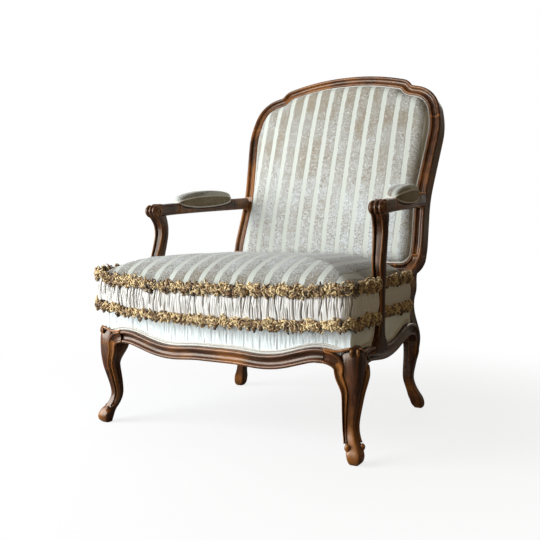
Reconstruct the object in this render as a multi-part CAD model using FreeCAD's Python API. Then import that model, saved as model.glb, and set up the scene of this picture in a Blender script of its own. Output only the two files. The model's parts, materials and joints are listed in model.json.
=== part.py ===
"""Carved open armchair with an upholstered back, arm pads and a loose fringed seat cushion.

Millimetres, +Z up, the chair faces -Y. Left and right are the sitter's, so left is +X.
The left half is modelled and mirrored. The origin is the middle of the footprint, on the floor.
"""
import FreeCAD, Part
import math
import os

Vec = FreeCAD.Vector

# Stance: the feet stand on the corners of a trapezium.
FRONT_FOOT_X = 370.0
REAR_FOOT_X = 316.0
FOOT_Y = 296.0

# Moulded band that runs round the seat rails and the back frame.
BAND_WIDTH = 34.0
BAND_DEPTH = 26.0
TOP_BEAD = 5.0
LOWER_BEAD = 4.0
BEAD_STEP = 1.0
COVE_DEPTH = 6.0
FRONT_PROUD = 22.0
SIDE_FRONT_PROUD = 8.0
SIDE_REAR_PROUD = 2.0

# Seat rails: flat boards behind the band, which the upholstery is tacked to.
BOARD_SETBACK = 18.0
BOARD_THICKNESS = 26.0
BOARD_BOTTOM = 227.0
BOARD_TOP = 281.0
FRONT_SHOULDER_X = 308.0
SIDE_FRONT_SHOULDER = 238.0
SIDE_REAR_SHOULDER = 222.0
REAR_RAIL_Y = 246.0
REAR_RAIL_THICKNESS = 28.0
TENON_LENGTH = 24.0
TENON_THICKNESS = 10.0
TENON_HEIGHT = 34.0
FIT = 0.15

# Serpentine lines of the rails: along, height, and the radius that rounds each corner.
FRONT_LINE = [
    (60, 217.5, 400), (160, 210.5, 280), (284, 246, 126), (349, 231, 42), (352, 112, 0),
]
SIDE_LINE = [
    (-279, 112, 0), (-277, 230, 42), (-190, 234, 200), (-25, 214, 560),
    (175, 249, 200), (262, 235, 42), (266, 112, 0),
]

# Front leg sections: height, offset outward along the diagonal, side of the square.
FRONT_LEG = [
    (0, -1, 20), (5, 2, 27), (14, 3, 33), (24, 1, 34.5), (34, -4, 33), (48, -16, 28.5), (64, -25, 26),
    (80, -28.5, 26), (98, -27, 28), (124, -22, 32), (158, -15, 38), (185, -13.5, 45), (215, -15, 51),
    (262, -18, 53),
]
# Rear leg sections: height, offset out and back along the diagonal, side of the square.
REAR_LEG = [
    (0, -2, 20), (5, -3, 27), (14, -6, 33), (26, -10, 34.5), (40, -17, 33), (54, -24, 29), (70, -31, 27),
    (92, -37, 27), (129, -34, 31.5), (160, -30, 36), (190, -28, 41),
]
LEG_ROUND = 0.16
# How far the rail mouldings stand out of a leg, and the heights where they start to fade and are gone.
WING_PROUD = 10.0
WING_FADE_TOP = 200.0
WING_FADE_END = 132.0
KNEE_TOP = 262.0
KNEE_FALL = 0.66
KNEE_REACH = 8.0

# Back frame, in its own raked plane.
BACK_RAKE = 17.8
BACK_FOOT_Y = 124.0
BACK_BAND_WIDTH = 32.0
BACK_BAND_DEPTH = 50.0
BACK_LINE = [
    (0, 1012, 0), (100, 1012, 690), (207, 984, 30), (221, 965, 30), (297, 948, 84), (323, 850, 240),
    (300, 630, 600), (309, 484, 300), (306, 413, 46), (0, 413, 0),
]
CREST_JOINT = 872.0
LOWER_RAIL_JOINT_X = 246.0
# Back post between the leg and the frame: height, centre line, lag behind the raked plane, width.
BACK_POST = [
    (226, 296, 42, 44), (262, 294, 16, 38), (300, 290, 0, 32), (345, 291, 0, 31),
    (385, 288, 0, 30), (420, 298, 0, 30), (455, 306, 0, 29),
]

# Arms: height and place of the middle of each section, then width and height.
ARM = [
    (-142, 347, 581, 34, 30), (-110, 347, 582, 36, 34), (-50, 345, 586, 36, 34), (20, 340, 592, 36, 34),
    (120, 331, 600, 36, 35), (230, 317, 608, 36, 36), (352, 301, 617, 34, 38),
]
ARM_ROUND = 0.25
ARM_LANDING_MARGIN = 6.0
HAND_Y = -143.0
HAND_Z = 580.0
HAND_RADIUS = 17.0
HAND_WIDTH = 37.0
# Arm supports: height, then middle along and across, depth and width.
ARM_SUPPORT = [
    (232, -112, 353, 128, 26), (248, -110, 353, 98, 26), (264, -107, 352, 66, 25), (286, -104, 351, 44, 24),
    (312, -102, 350, 34, 22), (350, -100, 349, 29, 22), (400, -98, 348, 32, 25), (450, -94, 347, 37, 29),
    (500, -88, 346, 40, 33), (540, -94, 347, 42, 35), (572, -114, 347, 44, 36),
]

# Arm pads lie in a scoop cut into the arm.
PAD_FRONT_Y = -14.0
PAD_REAR_Y = 226.0
PAD_DROP = 27.0
PAD_CROWN = 26.0
PAD_PROUD = 3.5
PAD_WELT = 2.2
PAD_ROUND = 0.36
PAD_STEPS = 6

# Seat deck under the cushion.
CLOTH = 3.0
DECK_TOP = 290.0
DECK_HEM = 226.0
WELT = 2.4
WEBBING_WIDTH = 50.0
WEBBING_THICKNESS = 2.0
WEBBING_PITCH = 78.0
DUST_COVER_THICKNESS = 1.2
HESSIAN = 1.2

# Loose cushion: half outline seen from above, with corner radii.
CUSHION_OUTLINE = [(376, -341, 24), (372, -160, 26), (321, -138, 26), (320, 92, 100), (281, 212, 40)]
CUSHION_BOTTOM = 290.6
BOXING_BOTTOM = 305.0
BOXING_TOP = 384.0
BOXING_DRAW = 5.0
CROWN_HEIGHT = 68.0
BELLY_INSET = 45.0
CROWN_INSET = 160.0
CROWN_STEPS = 6
FRINGE_HEIGHT = 26.0
FRINGE_PROUD = 11.0
CLEAR = 0.4

# Upholstered back.
PAD_EDGE = 14.0
BACK_CROWN = 38.0
BACK_PAD_DEPTH = 22.0
BACK_PAD_FACE = 6.0
BACK_PAD_ROUND = 70.0
BACK_CROWN_INSET = 190.0
OUTSIDE_RECESS = 2.0
OUTSIDE_PANEL = 5.0
BACK_WEB_WIDTH = 55.0
BACK_WEB_PITCH = 120.0

# Corner blocks and their screws.
BLOCK_REACH = 70.0
BLOCK_HEIGHT = 34.0
SCREW_SHANK = 4.5
SCREW_HEAD = 9.0
SCREW_LENGTH = 52.0

# Reach of cutting blocks, and how far a tenon is rooted in its rail.
BIG = 3000.0
OVERLAP = 1.0
TINY = 1e-6
RAKE = math.radians(BACK_RAKE)
SIDE_FRONT_X = FRONT_FOOT_X + SIDE_FRONT_PROUD
SIDE_REAR_X = REAR_FOOT_X + SIDE_REAR_PROUD
SIDE_SLOPE = math.atan2(SIDE_FRONT_X - SIDE_REAR_X, 2 * FOOT_Y)
SIDE_MIDDLE_X = (SIDE_FRONT_X + SIDE_REAR_X) / 2
FRONT_FACE = -(FOOT_Y + FRONT_PROUD)
BOARD_FRONT_Y = FRONT_FACE + BOARD_SETBACK
BOARD_BACK_Y = BOARD_FRONT_Y + BOARD_THICKNESS
SIDE_BOARD_BOTTOM = BOARD_BOTTOM - WEBBING_THICKNESS


def prism(points, bottom, top):
    """Upright prism on a flat outline of (x, y) points."""
    corners = [Vec(x, y, bottom) for x, y in points]
    face = Part.Face(Part.makePolygon(corners + corners[:1]))
    return face.extrude(Vec(0, 0, top - bottom))


def box(x0, x1, y0, y1, z0, z1):
    return Part.makeBox(x1 - x0, y1 - y0, z1 - z0, Vec(x0, y0, z0))


def mirrored(shape):
    """The same piece on the sitter's right."""
    return shape.mirror(Vec(0, 0, 0), Vec(1, 0, 0))


def corner_angle(points, i):
    """Half of the angle between the two sides that meet at a corner."""
    here = points[i][0]
    return (points[i - 1][0] - here).getAngle(points[(i + 1) % len(points)][0] - here) / 2


def rounded_edges(points, closed=False):
    """Lines and tangent arcs along corners given as (point, radius). Arcs that crowd a side share it."""
    count = len(points)
    corners = range(count) if closed else range(1, count - 1)
    wanted = [0.0] * count
    for i in corners:
        wanted[i] = points[i][1] / math.tan(corner_angle(points, i))
    edges = []
    last = None if closed else points[0][0]
    for i in corners:
        here = points[i][0]
        after = (i + 1) % count
        back = points[i - 1][0] - here
        ahead = points[after][0] - here
        share = min(1.0, back.Length / (wanted[i - 1] + wanted[i]),
                    ahead.Length / (wanted[i] + wanted[after]))
        reach = wanted[i] * share
        start = here + back.normalize() * reach
        end = here + ahead.normalize() * reach
        half = corner_angle(points, i)
        depth = reach / math.cos(half) - reach * math.tan(half)
        bulge = here + (back + ahead).normalize() * depth
        if last is not None and (start - last).Length > TINY:
            edges.append(Part.LineSegment(last, start).toShape())
        edges.append(Part.Arc(start, bulge, end).toShape())
        last = end
    goal = edges[0].Vertexes[0].Point if closed else points[-1][0]
    if (goal - last).Length > TINY:
        edges.append(Part.LineSegment(last, goal).toShape())
    return edges


def sweep(path, profile, normal):
    """Solid made by carrying a closed profile along a flat path."""
    shell = Part.BRepOffsetAPI.MakePipeShell(path)
    shell.setBiNormalMode(normal)
    shell.add(profile)
    shell.build()
    shell.makeSolid()
    return shell.shape()


def loft(wires, ruled=False):
    return Part.makeLoft(wires, True, ruled)


def rounded_rectangle(centre, along, across, width, depth, radius):
    """Closed wire of lines and arcs in the plane of two directions."""
    half_w = width / 2
    half_d = depth / 2
    corners = [(-half_w, -half_d), (half_w, -half_d), (half_w, half_d), (-half_w, half_d)]
    points = [(centre + along * u + across * v, radius) for u, v in corners]
    return Part.Wire(rounded_edges(points, closed=True))


def moulding(origin, outward, face, width, depth):
    """Bead, cove and bead across the face of the band. The face lies at depth zero."""
    half = width / 2
    top = half - 2 * TOP_BEAD
    low = -half + 2 * LOWER_BEAD
    fall = TOP_BEAD + BEAD_STEP

    def at(u, v):
        return origin + outward * u + face * v

    edges = [
        Part.LineSegment(at(-half, -depth), at(half, -depth)),
        Part.LineSegment(at(half, -depth), at(half, -TOP_BEAD)),
        Part.Arc(at(half, -TOP_BEAD), at(half - TOP_BEAD, 0), at(top, -TOP_BEAD)),
        Part.LineSegment(at(top, -TOP_BEAD), at(top, -fall)),
        Part.Arc(at(top, -fall), at((top + low) / 2, -fall - COVE_DEPTH / 2), at(low, -LOWER_BEAD)),
        Part.Arc(at(low, -LOWER_BEAD), at(-half + LOWER_BEAD, -LOWER_BEAD / 4), at(-half, -LOWER_BEAD)),
        Part.LineSegment(at(-half, -LOWER_BEAD), at(-half, -depth)),
    ]
    return Part.Wire([edge.toShape() for edge in edges])


def cord_ring(origin, outward, face, offset, radius):
    """Round welt section beside the edge of the band."""
    centre = origin + outward * offset - face * (BOARD_SETBACK - CLOTH - radius - FIT)
    return Part.Wire(Part.makeCircle(radius, centre, outward.cross(face)))


# Places on the slanted side of the seat: t runs back along the face of the moulding, n points out.
def side_point(t, n, z):
    x = SIDE_MIDDLE_X - t * math.sin(SIDE_SLOPE) + n * math.cos(SIDE_SLOPE)
    y = t * math.cos(SIDE_SLOPE) + n * math.sin(SIDE_SLOPE)
    return Vec(x, y, z)


def side_box(t0, t1, n0, n1, z0, z1):
    corners = [side_point(t, n, 0) for t, n in ((t0, n0), (t1, n0), (t1, n1), (t0, n1))]
    return prism([(p.x, p.y) for p in corners], z0, z1)


SIDE_OUT = side_point(0, 1, 0) - side_point(0, 0, 0)
BOARD_FACE = -BOARD_SETBACK
BOARD_BACK = BOARD_FACE - BOARD_THICKNESS


def front_points():
    """Corners of the front line from the sitter's right leg to the left one."""
    right = [(Vec(-x, FRONT_FACE, z), r) for x, z, r in reversed(FRONT_LINE)]
    left = [(Vec(x, FRONT_FACE, z), r) for x, z, r in FRONT_LINE]
    return right + left


def side_points():
    return [(side_point(t, 0, z), r) for t, z, r in SIDE_LINE]


def square_to(points, face):
    """Direction across a band at the start of its line, away from the piece."""
    return face.cross(points[1][0] - points[0][0]).normalize()


def band(points, face):
    """Moulded band along a line of corners, on a face that looks one way."""
    profile = moulding(points[0][0], square_to(points, face), face, BAND_WIDTH, BAND_DEPTH)
    return sweep(Part.Wire(rounded_edges(points)), profile, face)


# Back frame pieces are drawn upright and then leaned back.
def lean(shape):
    tilted = shape.copy()
    tilted.rotate(Vec(0, 0, 0), Vec(1, 0, 0), -BACK_RAKE)
    tilted.translate(Vec(0, BACK_FOOT_Y, 0))
    return tilted


def up(height):
    """Distance up the raked plane that reaches a height above the floor."""
    return height / math.cos(RAKE)


def back_face_y(height):
    return BACK_FOOT_Y + height * math.tan(RAKE)


def back_points(inset):
    """Corners of the half frame line, moved in by an amount. Radii follow the side they lie on."""
    corners = [(Vec(x, 0, up(z)), r) for x, z, r in BACK_LINE]
    moved = []
    for i, (here, radius) in enumerate(corners):
        before = (here - corners[i - 1][0]).normalize() if i else Vec(1, 0, 0)
        after = (corners[i + 1][0] - here).normalize() if i < len(corners) - 1 else Vec(-1, 0, 0)
        inward_before = Vec(before.z, 0, -before.x)
        inward_after = Vec(after.z, 0, -after.x)
        bisector = (inward_before + inward_after).normalize()
        reach = inset / bisector.dot(inward_before)
        turns_in = before.z * after.x - before.x * after.z > 0
        moved.append((here + bisector * reach, radius - inset if turns_in else radius + inset))
    return moved


def back_line(inset=0.0):
    return Part.Wire(rounded_edges(back_points(inset)))


def back_half(profile):
    return sweep(back_line(), profile, Vec(0, 1, 0))


def back_band():
    start = Vec(0, 0, up(BACK_LINE[0][1]))
    return back_half(moulding(start, Vec(0, 0, 1), Vec(0, -1, 0), BACK_BAND_WIDTH, BACK_BAND_DEPTH))


def back_face(inset):
    """Flat panel that fills the frame up to an inset from the middle of its band."""
    half = back_line(inset)
    other = mirrored(half)
    return Part.Face(Part.Wire(Part.__sortEdges__(half.Edges + other.Edges)))


def square_section(centre_x, centre_y, z, width, depth):
    radius = LEG_ROUND * min(width, depth)
    return rounded_rectangle(Vec(centre_x, centre_y, z), Vec(1, 0, 0), Vec(0, 1, 0), width, depth, radius)


def diagonal_sections(stations, foot_x, foot_y):
    """Sections of a leg that bows along its diagonal."""
    reach = math.sqrt(0.5)
    out_y = math.copysign(reach, foot_y)
    return [square_section(foot_x + s * reach, foot_y + s * out_y, z, side, side) for z, s, side in stations]


def front_post_block(top, grow=0.0):
    """Square top of the front leg, behind the upholstery, where the rails are tenoned in."""
    front = BOARD_FRONT_Y
    outer_front = side_point(front, BOARD_FACE, 0)
    outer_back = side_point(-SIDE_FRONT_SHOULDER, BOARD_FACE, 0)
    inner_back = side_point(-SIDE_FRONT_SHOULDER, BOARD_BACK, 0)
    points = [
        (FRONT_SHOULDER_X - grow, front), (outer_front.x, front), (outer_back.x, outer_back.y + grow),
        (inner_back.x, inner_back.y + grow), (FRONT_SHOULDER_X - grow, inner_back.y + grow),
    ]
    return prism(points, BOARD_BOTTOM - grow, top)


def front_tenon(grow=0.0):
    y = (BOARD_FRONT_Y + BOARD_BACK_Y) / 2
    z = (BOARD_BOTTOM + BOARD_TOP) / 2
    half = TENON_THICKNESS / 2 + grow
    tall = TENON_HEIGHT / 2 + grow
    start = FRONT_SHOULDER_X - OVERLAP
    return box(start, FRONT_SHOULDER_X + TENON_LENGTH + grow, y - half, y + half, z - tall, z + tall)


def side_tenon(shoulder, direction, grow=0.0):
    n = (BOARD_FACE + BOARD_BACK) / 2
    z = (BOARD_BOTTOM + BOARD_TOP) / 2
    half = TENON_THICKNESS / 2 + grow
    tall = TENON_HEIGHT / 2 + grow
    ends = sorted((shoulder - direction * OVERLAP, shoulder + direction * (TENON_LENGTH + grow)))
    return side_box(ends[0], ends[1], n - half, n + half, z - tall, z + tall)


def wing_limit(stations, foot_x, foot_y):
    """Space around a leg that the rail mouldings fade into on their way down."""
    grown = []
    for z, s, side in stations:
        share = (z - WING_FADE_END) / (WING_FADE_TOP - WING_FADE_END)
        if share > -1:
            grown.append((z, s, side + 2 * WING_PROUD * min(share, 1)))
    top = grown[-1]
    grown.append((BOARD_TOP, top[1], top[2]))
    fading = loft(diagonal_sections(grown, foot_x, foot_y), ruled=True)
    return fading.fuse(box(-BIG, BIG, -BIG, BIG, WING_FADE_TOP, BIG))


def front_leg(band_front, band_side):
    leg = loft(diagonal_sections(FRONT_LEG, FRONT_FOOT_X, -FOOT_Y))
    limit = wing_limit(FRONT_LEG, FRONT_FOOT_X, -FOOT_Y)
    roof = box(-BIG, BIG, -BIG, BIG, 0, BIG)
    roof.rotate(Vec(0, 0, 0), Vec(1, 1, 0), math.degrees(math.atan(KNEE_FALL)))
    roof.translate(Vec(FRONT_FOOT_X + KNEE_REACH, -FOOT_Y - KNEE_REACH, KNEE_TOP))
    knee = leg.cut(roof)
    wing = band_front.common(box(FRONT_SHOULDER_X, BIG, -BIG, BIG, 0, BIG)).common(limit)
    side_wing = band_side.common(side_box(-BIG, -SIDE_FRONT_SHOULDER, -BIG, BIG, 0, BIG)).common(limit)
    whole = knee.fuse([wing, side_wing, front_post_block(BOARD_TOP)])
    return whole.cut([front_tenon(FIT), side_tenon(-SIDE_FRONT_SHOULDER, -1, FIT)]).removeSplitter()


def front_rail(band_front):
    rail = band_front.common(box(-FRONT_SHOULDER_X, FRONT_SHOULDER_X, -BIG, BIG, 0, BIG))
    board = box(-FRONT_SHOULDER_X, FRONT_SHOULDER_X, BOARD_FRONT_Y, BOARD_BACK_Y, BOARD_BOTTOM, BOARD_TOP)
    tenon = front_tenon()
    return rail.fuse([board, tenon, mirrored(tenon)])


def arm_support_solid(grow=0.0):
    sections = []
    for z, y, x, depth, width in ARM_SUPPORT:
        radius = LEG_ROUND * min(width, depth)
        centre = Vec(x, y, z)
        sections.append(
            rounded_rectangle(centre, Vec(1, 0, 0), Vec(0, 1, 0), width + 2 * grow, depth + 2 * grow, radius))
    return loft(sections)


def side_rail(band_side):
    rail = band_side.common(side_box(-SIDE_FRONT_SHOULDER, SIDE_REAR_SHOULDER, -BIG, BIG, 0, BIG))
    board = side_box(-SIDE_FRONT_SHOULDER, SIDE_REAR_SHOULDER, BOARD_BACK, BOARD_FACE,
                     SIDE_BOARD_BOTTOM, BOARD_TOP)
    rail = rail.fuse([board, side_tenon(-SIDE_FRONT_SHOULDER, -1), side_tenon(SIDE_REAR_SHOULDER, 1)])
    return rail.cut(arm_support_solid(FIT)).removeSplitter()


def back_post_body():
    """Rear leg and the plain lower part of the post, as one carved length."""
    depth = BACK_BAND_DEPTH / math.cos(RAKE)
    sections = diagonal_sections(REAR_LEG, REAR_FOOT_X, FOOT_Y)
    for z, x, lag, width in BACK_POST:
        sections.append(square_section(x, back_face_y(z) + depth / 2 + lag, z, width, depth))
    return loft(sections)


def rear_post_block():
    """Flat behind the upholstery where the side rail meets the back post."""
    return side_box(SIDE_REAR_SHOULDER, SIDE_REAR_SHOULDER + TENON_LENGTH * 1.5, BOARD_BACK, BOARD_FACE,
                    SIDE_BOARD_BOTTOM, BOARD_TOP)


def rear_tenon(grow=0.0):
    y = REAR_RAIL_Y + REAR_RAIL_THICKNESS / 2
    z = (BOARD_BOTTOM + BOARD_TOP) / 2
    half = TENON_THICKNESS / 2 + grow
    tall = TENON_HEIGHT / 2 + grow
    end = BACK_POST[1][1] + grow
    return box(end - 2 * TENON_LENGTH, end, y - half, y + half, z - tall, z + tall)


def frame_joint_x():
    """Middle of the back band where the crest meets the post."""
    cut = back_line().common(box(0, BIG, -1, 1, up(CREST_JOINT) - 0.01, up(CREST_JOINT) + 0.01))
    return cut.BoundBox.Center.x


def crest_tenon(grow=0.0):
    x = frame_joint_x()
    half = TENON_THICKNESS / 2 + grow
    y = BACK_BAND_DEPTH / 2
    bottom = up(CREST_JOINT)
    return box(x - half, x + half, y - half, y + half, bottom - OVERLAP, bottom + TENON_LENGTH + grow)


def lower_tenon(grow=0.0):
    half = TENON_THICKNESS / 2 + grow
    y = BACK_BAND_DEPTH / 2
    z = up(BACK_LINE[-1][1])
    start = LOWER_RAIL_JOINT_X - OVERLAP
    return box(start, LOWER_RAIL_JOINT_X + TENON_LENGTH + grow, y - half, y + half, z - half, z + half)


def arm_at(y):
    """Middle, width and height of the arm at a distance from the middle of the chair."""
    for low, high in zip(ARM, ARM[1:]):
        if low[0] <= y <= high[0]:
            share = (y - low[0]) / (high[0] - low[0])
            return [a + (b - a) * share for a, b in zip(low[1:], high[1:])]
    return list(ARM[-1][1:])


def arm_landing():
    """Plain block on the post, where the mouldings stop for the arm."""
    end_x, end_z, width, height = ARM[-1][1:]
    low = up(end_z - height / 2 - ARM_LANDING_MARGIN)
    high = up(end_z + height / 2)
    half = min(width, BACK_BAND_WIDTH) / 2 - FIT
    return box(end_x - half, end_x + half, 0, BACK_BAND_DEPTH / 2, low, high)


def arm_tenon(grow=0.0):
    end_x, end_z = ARM[-1][1:3]
    half = TENON_THICKNESS / 2 + grow
    z = up(end_z)
    return box(end_x - half, end_x + half, -2 * TENON_LENGTH, TENON_LENGTH + grow, z - half, z + half)


def back_post(band_back, band_side):
    stile = band_back.common(box(LOWER_RAIL_JOINT_X, BIG, -BIG, BIG, 0, up(CREST_JOINT)))
    stile = stile.fuse([arm_landing(), crest_tenon()]).cut([lower_tenon(FIT), arm_tenon(FIT)])
    wing = band_side.common(side_box(SIDE_REAR_SHOULDER, BIG, -BIG, BIG, 0, BIG))
    wing = wing.common(wing_limit(REAR_LEG, REAR_FOOT_X, FOOT_Y))
    whole = back_post_body().fuse([lean(stile), wing, rear_post_block()])
    return whole.cut([side_tenon(SIDE_REAR_SHOULDER, 1, FIT), rear_tenon(FIT)]).removeSplitter()


def rear_rail(posts):
    reach = BACK_POST[1][1]
    rail = box(-reach, reach, REAR_RAIL_Y, REAR_RAIL_Y + REAR_RAIL_THICKNESS, BOARD_BOTTOM, BOARD_TOP)
    tenon = rear_tenon()
    return rail.cut(posts).Solids[0].fuse([tenon, mirrored(tenon)]).removeSplitter()


def crest_rail(band_back):
    half = band_back.common(box(0, BIG, -BIG, BIG, up(CREST_JOINT), BIG)).cut(crest_tenon(FIT))
    return lean(half.fuse(mirrored(half)))


def lower_back_rail(band_back):
    half = band_back.common(box(0, LOWER_RAIL_JOINT_X, -BIG, BIG, 0, up(CREST_JOINT))).fuse(lower_tenon())
    return lean(half.fuse(mirrored(half)).removeSplitter())


def pad_scoop(shrink=0.0):
    """Round-bottomed bed for the arm pad, cut across the arm."""
    ends = []
    for y in (PAD_FRONT_Y, PAD_REAR_Y):
        z, _, height = arm_at(y)[1:]
        ends.append(Vec(0, y, z + height / 2))
    chord = ends[1] - ends[0]
    radius = (chord.Length ** 2 / 4 + PAD_DROP ** 2) / (2 * PAD_DROP)
    upward = Vec(1, 0, 0).cross(chord).normalize()
    centre = (ends[0] + ends[1]) * 0.5 + upward * (radius - PAD_DROP)
    return centre, radius, Part.makeCylinder(radius - shrink, BIG, centre, Vec(1, 0, 0))


def arm_solid():
    sections = []
    for y, x, z, width, height in ARM:
        centre = Vec(x, y, z)
        radius = ARM_ROUND * min(width, height)
        sections.append(rounded_rectangle(centre, Vec(1, 0, 0), Vec(0, 0, 1), width, height, radius))
    hand_end = Vec(ARM[0][1] - HAND_WIDTH / 2, HAND_Y, HAND_Z)
    hand = Part.makeCylinder(HAND_RADIUS, HAND_WIDTH, hand_end, Vec(1, 0, 0))
    arm = loft(sections).fuse(hand)
    return arm.cut(lean(box(-BIG, BIG, 0, BIG, -BIG, BIG)))


def support_tenon(grow=0.0):
    z, y, x = ARM_SUPPORT[-1][:3]
    return Part.makeCylinder(TENON_THICKNESS / 2 + grow, TENON_LENGTH + grow, Vec(x, y, z - TENON_LENGTH / 2))


def arm_rail(arm):
    with_tenon = arm.fuse(lean(arm_tenon()))
    return with_tenon.cut([pad_scoop()[2], support_tenon(FIT)]).removeSplitter()


def arm_support(arm):
    return arm_support_solid().cut(arm).Solids[0].fuse(support_tenon()).removeSplitter()


def arm_pad():
    sections = []
    for i in range(PAD_STEPS + 1):
        share = i / PAD_STEPS
        y = PAD_FRONT_Y + (PAD_REAR_Y - PAD_FRONT_Y) * share
        x, z, width, height = arm_at(y)
        rise = PAD_CROWN * math.sin(math.pi * share) ** 0.7 + PAD_WELT
        wide = width + 2 * PAD_PROUD * math.sin(math.pi * share) ** 0.5
        low = z - height / 2
        high = z + height / 2 + rise
        centre = Vec(x, y, (low + high) / 2)
        sections.append(
            rounded_rectangle(centre, Vec(1, 0, 0), Vec(0, 0, 1), wide, high - low, wide * PAD_ROUND))
    return loft(sections).common(pad_scoop(FIT)[2])


def arm_pad_welt(arm, pad):
    """Piping along both lower edges of the arm pad."""
    centre, radius, _ = pad_scoop()
    ring = radius + PAD_WELT
    cords = []
    for side in (-1, 1):
        points = []
        for share in (0.03, 0.5, 0.97):
            y = PAD_FRONT_Y + (PAD_REAR_Y - PAD_FRONT_Y) * share
            x, _, width, _ = arm_at(y)
            fall = math.sqrt(ring ** 2 - (y - centre.y) ** 2)
            points.append(Vec(x + side * (width / 2 + PAD_WELT), y, centre.z - fall))
        path = Part.Wire(Part.Arc(*points).toShape())
        start = path.Edges[0].tangentAt(path.Edges[0].FirstParameter)
        profile = Part.Wire(Part.makeCircle(PAD_WELT, points[0], start))
        shell = Part.BRepOffsetAPI.MakePipeShell(path)
        shell.add(profile)
        shell.build()
        shell.makeSolid()
        cords.append(shell.shape().cut([arm, pad]))
    return largest_of_each(cords)


def largest_of_each(shapes):
    """One solid from each shape: the main piece, without the slivers that a cut leaves."""
    return Part.makeCompound([max(shape.Solids, key=lambda solid: solid.Volume) for shape in shapes])


def seat_outline(outset, rear):
    """Half outline of the seat just outside the boards, from the front to a line at the rear."""
    front = BOARD_FRONT_Y - outset
    slant = math.tan(SIDE_SLOPE)
    outer = side_point(0, BOARD_FACE + outset, 0)
    half = [(outer.x - (front - outer.y) * slant, front), (outer.x - (rear - outer.y) * slant, rear)]
    return half + [(-x, y) for x, y in reversed(half)]


def seat_deck_cover(half_frame):
    rear = REAR_RAIL_Y + REAR_RAIL_THICKNESS
    skin = prism(seat_outline(CLOTH, rear), DECK_HEM, DECK_TOP).common(box(0, BIG, -BIG, BIG, 0, BIG))
    inside = prism(seat_outline(0, rear), 0, DECK_TOP - CLOTH)
    behind = box(-BIG, BIG, REAR_RAIL_Y, BIG, 0, DECK_TOP - CLOTH)
    half = largest_of_each([skin.cut([inside, behind]).cut(half_frame)]).Solids[0]
    return half.fuse(mirrored(half)).removeSplitter()


def inner_outline(inset, rear):
    """Space between the boards, from the front rail to a line at the rear."""
    return seat_outline(-BOARD_THICKNESS - inset, rear)


def seat_stuffing(blocks, uprights):
    """Hair pad between the rails, with a thinner layer over them."""
    low = prism(inner_outline(CLEAR, REAR_RAIL_Y - CLEAR), BOARD_BOTTOM + HESSIAN, BOARD_TOP)
    layer = prism(seat_outline(-CLEAR, REAR_RAIL_Y + REAR_RAIL_THICKNESS), BOARD_TOP, DECK_TOP - CLOTH)
    corner = front_post_block(BOARD_TOP, CLEAR)
    low = low.cut([corner, mirrored(corner)] + blocks)
    return largest_of_each([low.fuse(layer).cut(uprights)])


def straps(long_way, outline, bottom, thickness, width, pitch):
    """Parallel webbing straps that end on an outline. Lengthwise ones all reach its rear edge."""
    bounds = prism(outline, bottom, bottom + thickness)
    limit = bounds.BoundBox
    rear_x = outline[1][0]
    start, end = (-rear_x, rear_x) if long_way else (limit.YMin, limit.YMax)
    count = int((end - start - width) // pitch) + 1
    first = (start + end) / 2 - (count - 1) * pitch / 2
    pieces = []
    for i in range(count):
        low = first + i * pitch - width / 2
        if long_way:
            strip = box(low, low + width, -BIG, BIG, bottom, bottom + thickness)
        else:
            strip = box(-BIG, BIG, low, low + width, bottom, bottom + thickness)
        pieces.append(strip.common(bounds).Solids[0])
    return pieces


def corner_blocks(posts, front):
    """Glued and screwed braces in the corners of the seat, with their screws."""
    slant = math.tan(SIDE_SLOPE)
    inner = side_point(0, BOARD_BACK, 0)
    corner_y = BOARD_BACK_Y if front else REAR_RAIL_Y
    turn = 1 if front else -1
    corner = Vec(inner.x - (corner_y - inner.y) * slant, corner_y, 0)
    along = Vec(corner.x - turn * BLOCK_REACH * slant, corner_y + turn * BLOCK_REACH, 0)
    across = Vec(corner.x - BLOCK_REACH, corner_y, 0)
    points = [(p.x, p.y) for p in (corner, along, across)]
    block = prism(points, BOARD_BOTTOM + HESSIAN, BOARD_BOTTOM + HESSIAN + BLOCK_HEIGHT)
    middle = (along + across) * 0.5
    middle.z = BOARD_BOTTOM + HESSIAN + BLOCK_HEIGHT / 2
    aim = Vec(corner.x - middle.x, corner.y - middle.y, 0).normalize()
    head_height = (SCREW_HEAD - SCREW_SHANK) / 2
    screw = Part.makeCylinder(SCREW_SHANK / 2, SCREW_LENGTH, middle, aim)
    head = Part.makeCone(SCREW_HEAD / 2, SCREW_SHANK / 2, head_height, middle, aim)
    screw = screw.fuse(head).removeSplitter()
    block = max(block.cut(posts).Solids, key=lambda solid: solid.Volume).cut(screw)
    return block, screw


def cushion_section(z, inset):
    """Cushion outline at a height, drawn in by an amount all round."""
    wide = CUSHION_OUTLINE[0][0]
    front = CUSHION_OUTLINE[0][1]
    rear = CUSHION_OUTLINE[-1][1]
    middle = (front + rear) / 2
    across = 1 - inset / wide
    along = 1 - inset / ((rear - front) / 2)
    half = []
    for x, y, radius in CUSHION_OUTLINE:
        half.append((Vec(x * across, middle + (y - middle) * along, z), radius * min(across, along)))
    other = [(Vec(-p.x, p.y, p.z), r) for p, r in reversed(half)]
    return Part.Wire(rounded_edges(half + other, closed=True))


def swell(steps):
    """Shares of rise and of inset along a quarter ellipse, for a crown that starts steep."""
    turns = [math.pi / 2 * i / steps for i in range(1, steps + 1)]
    return [(math.sin(turn), 1 - math.cos(turn)) for turn in turns]


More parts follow.
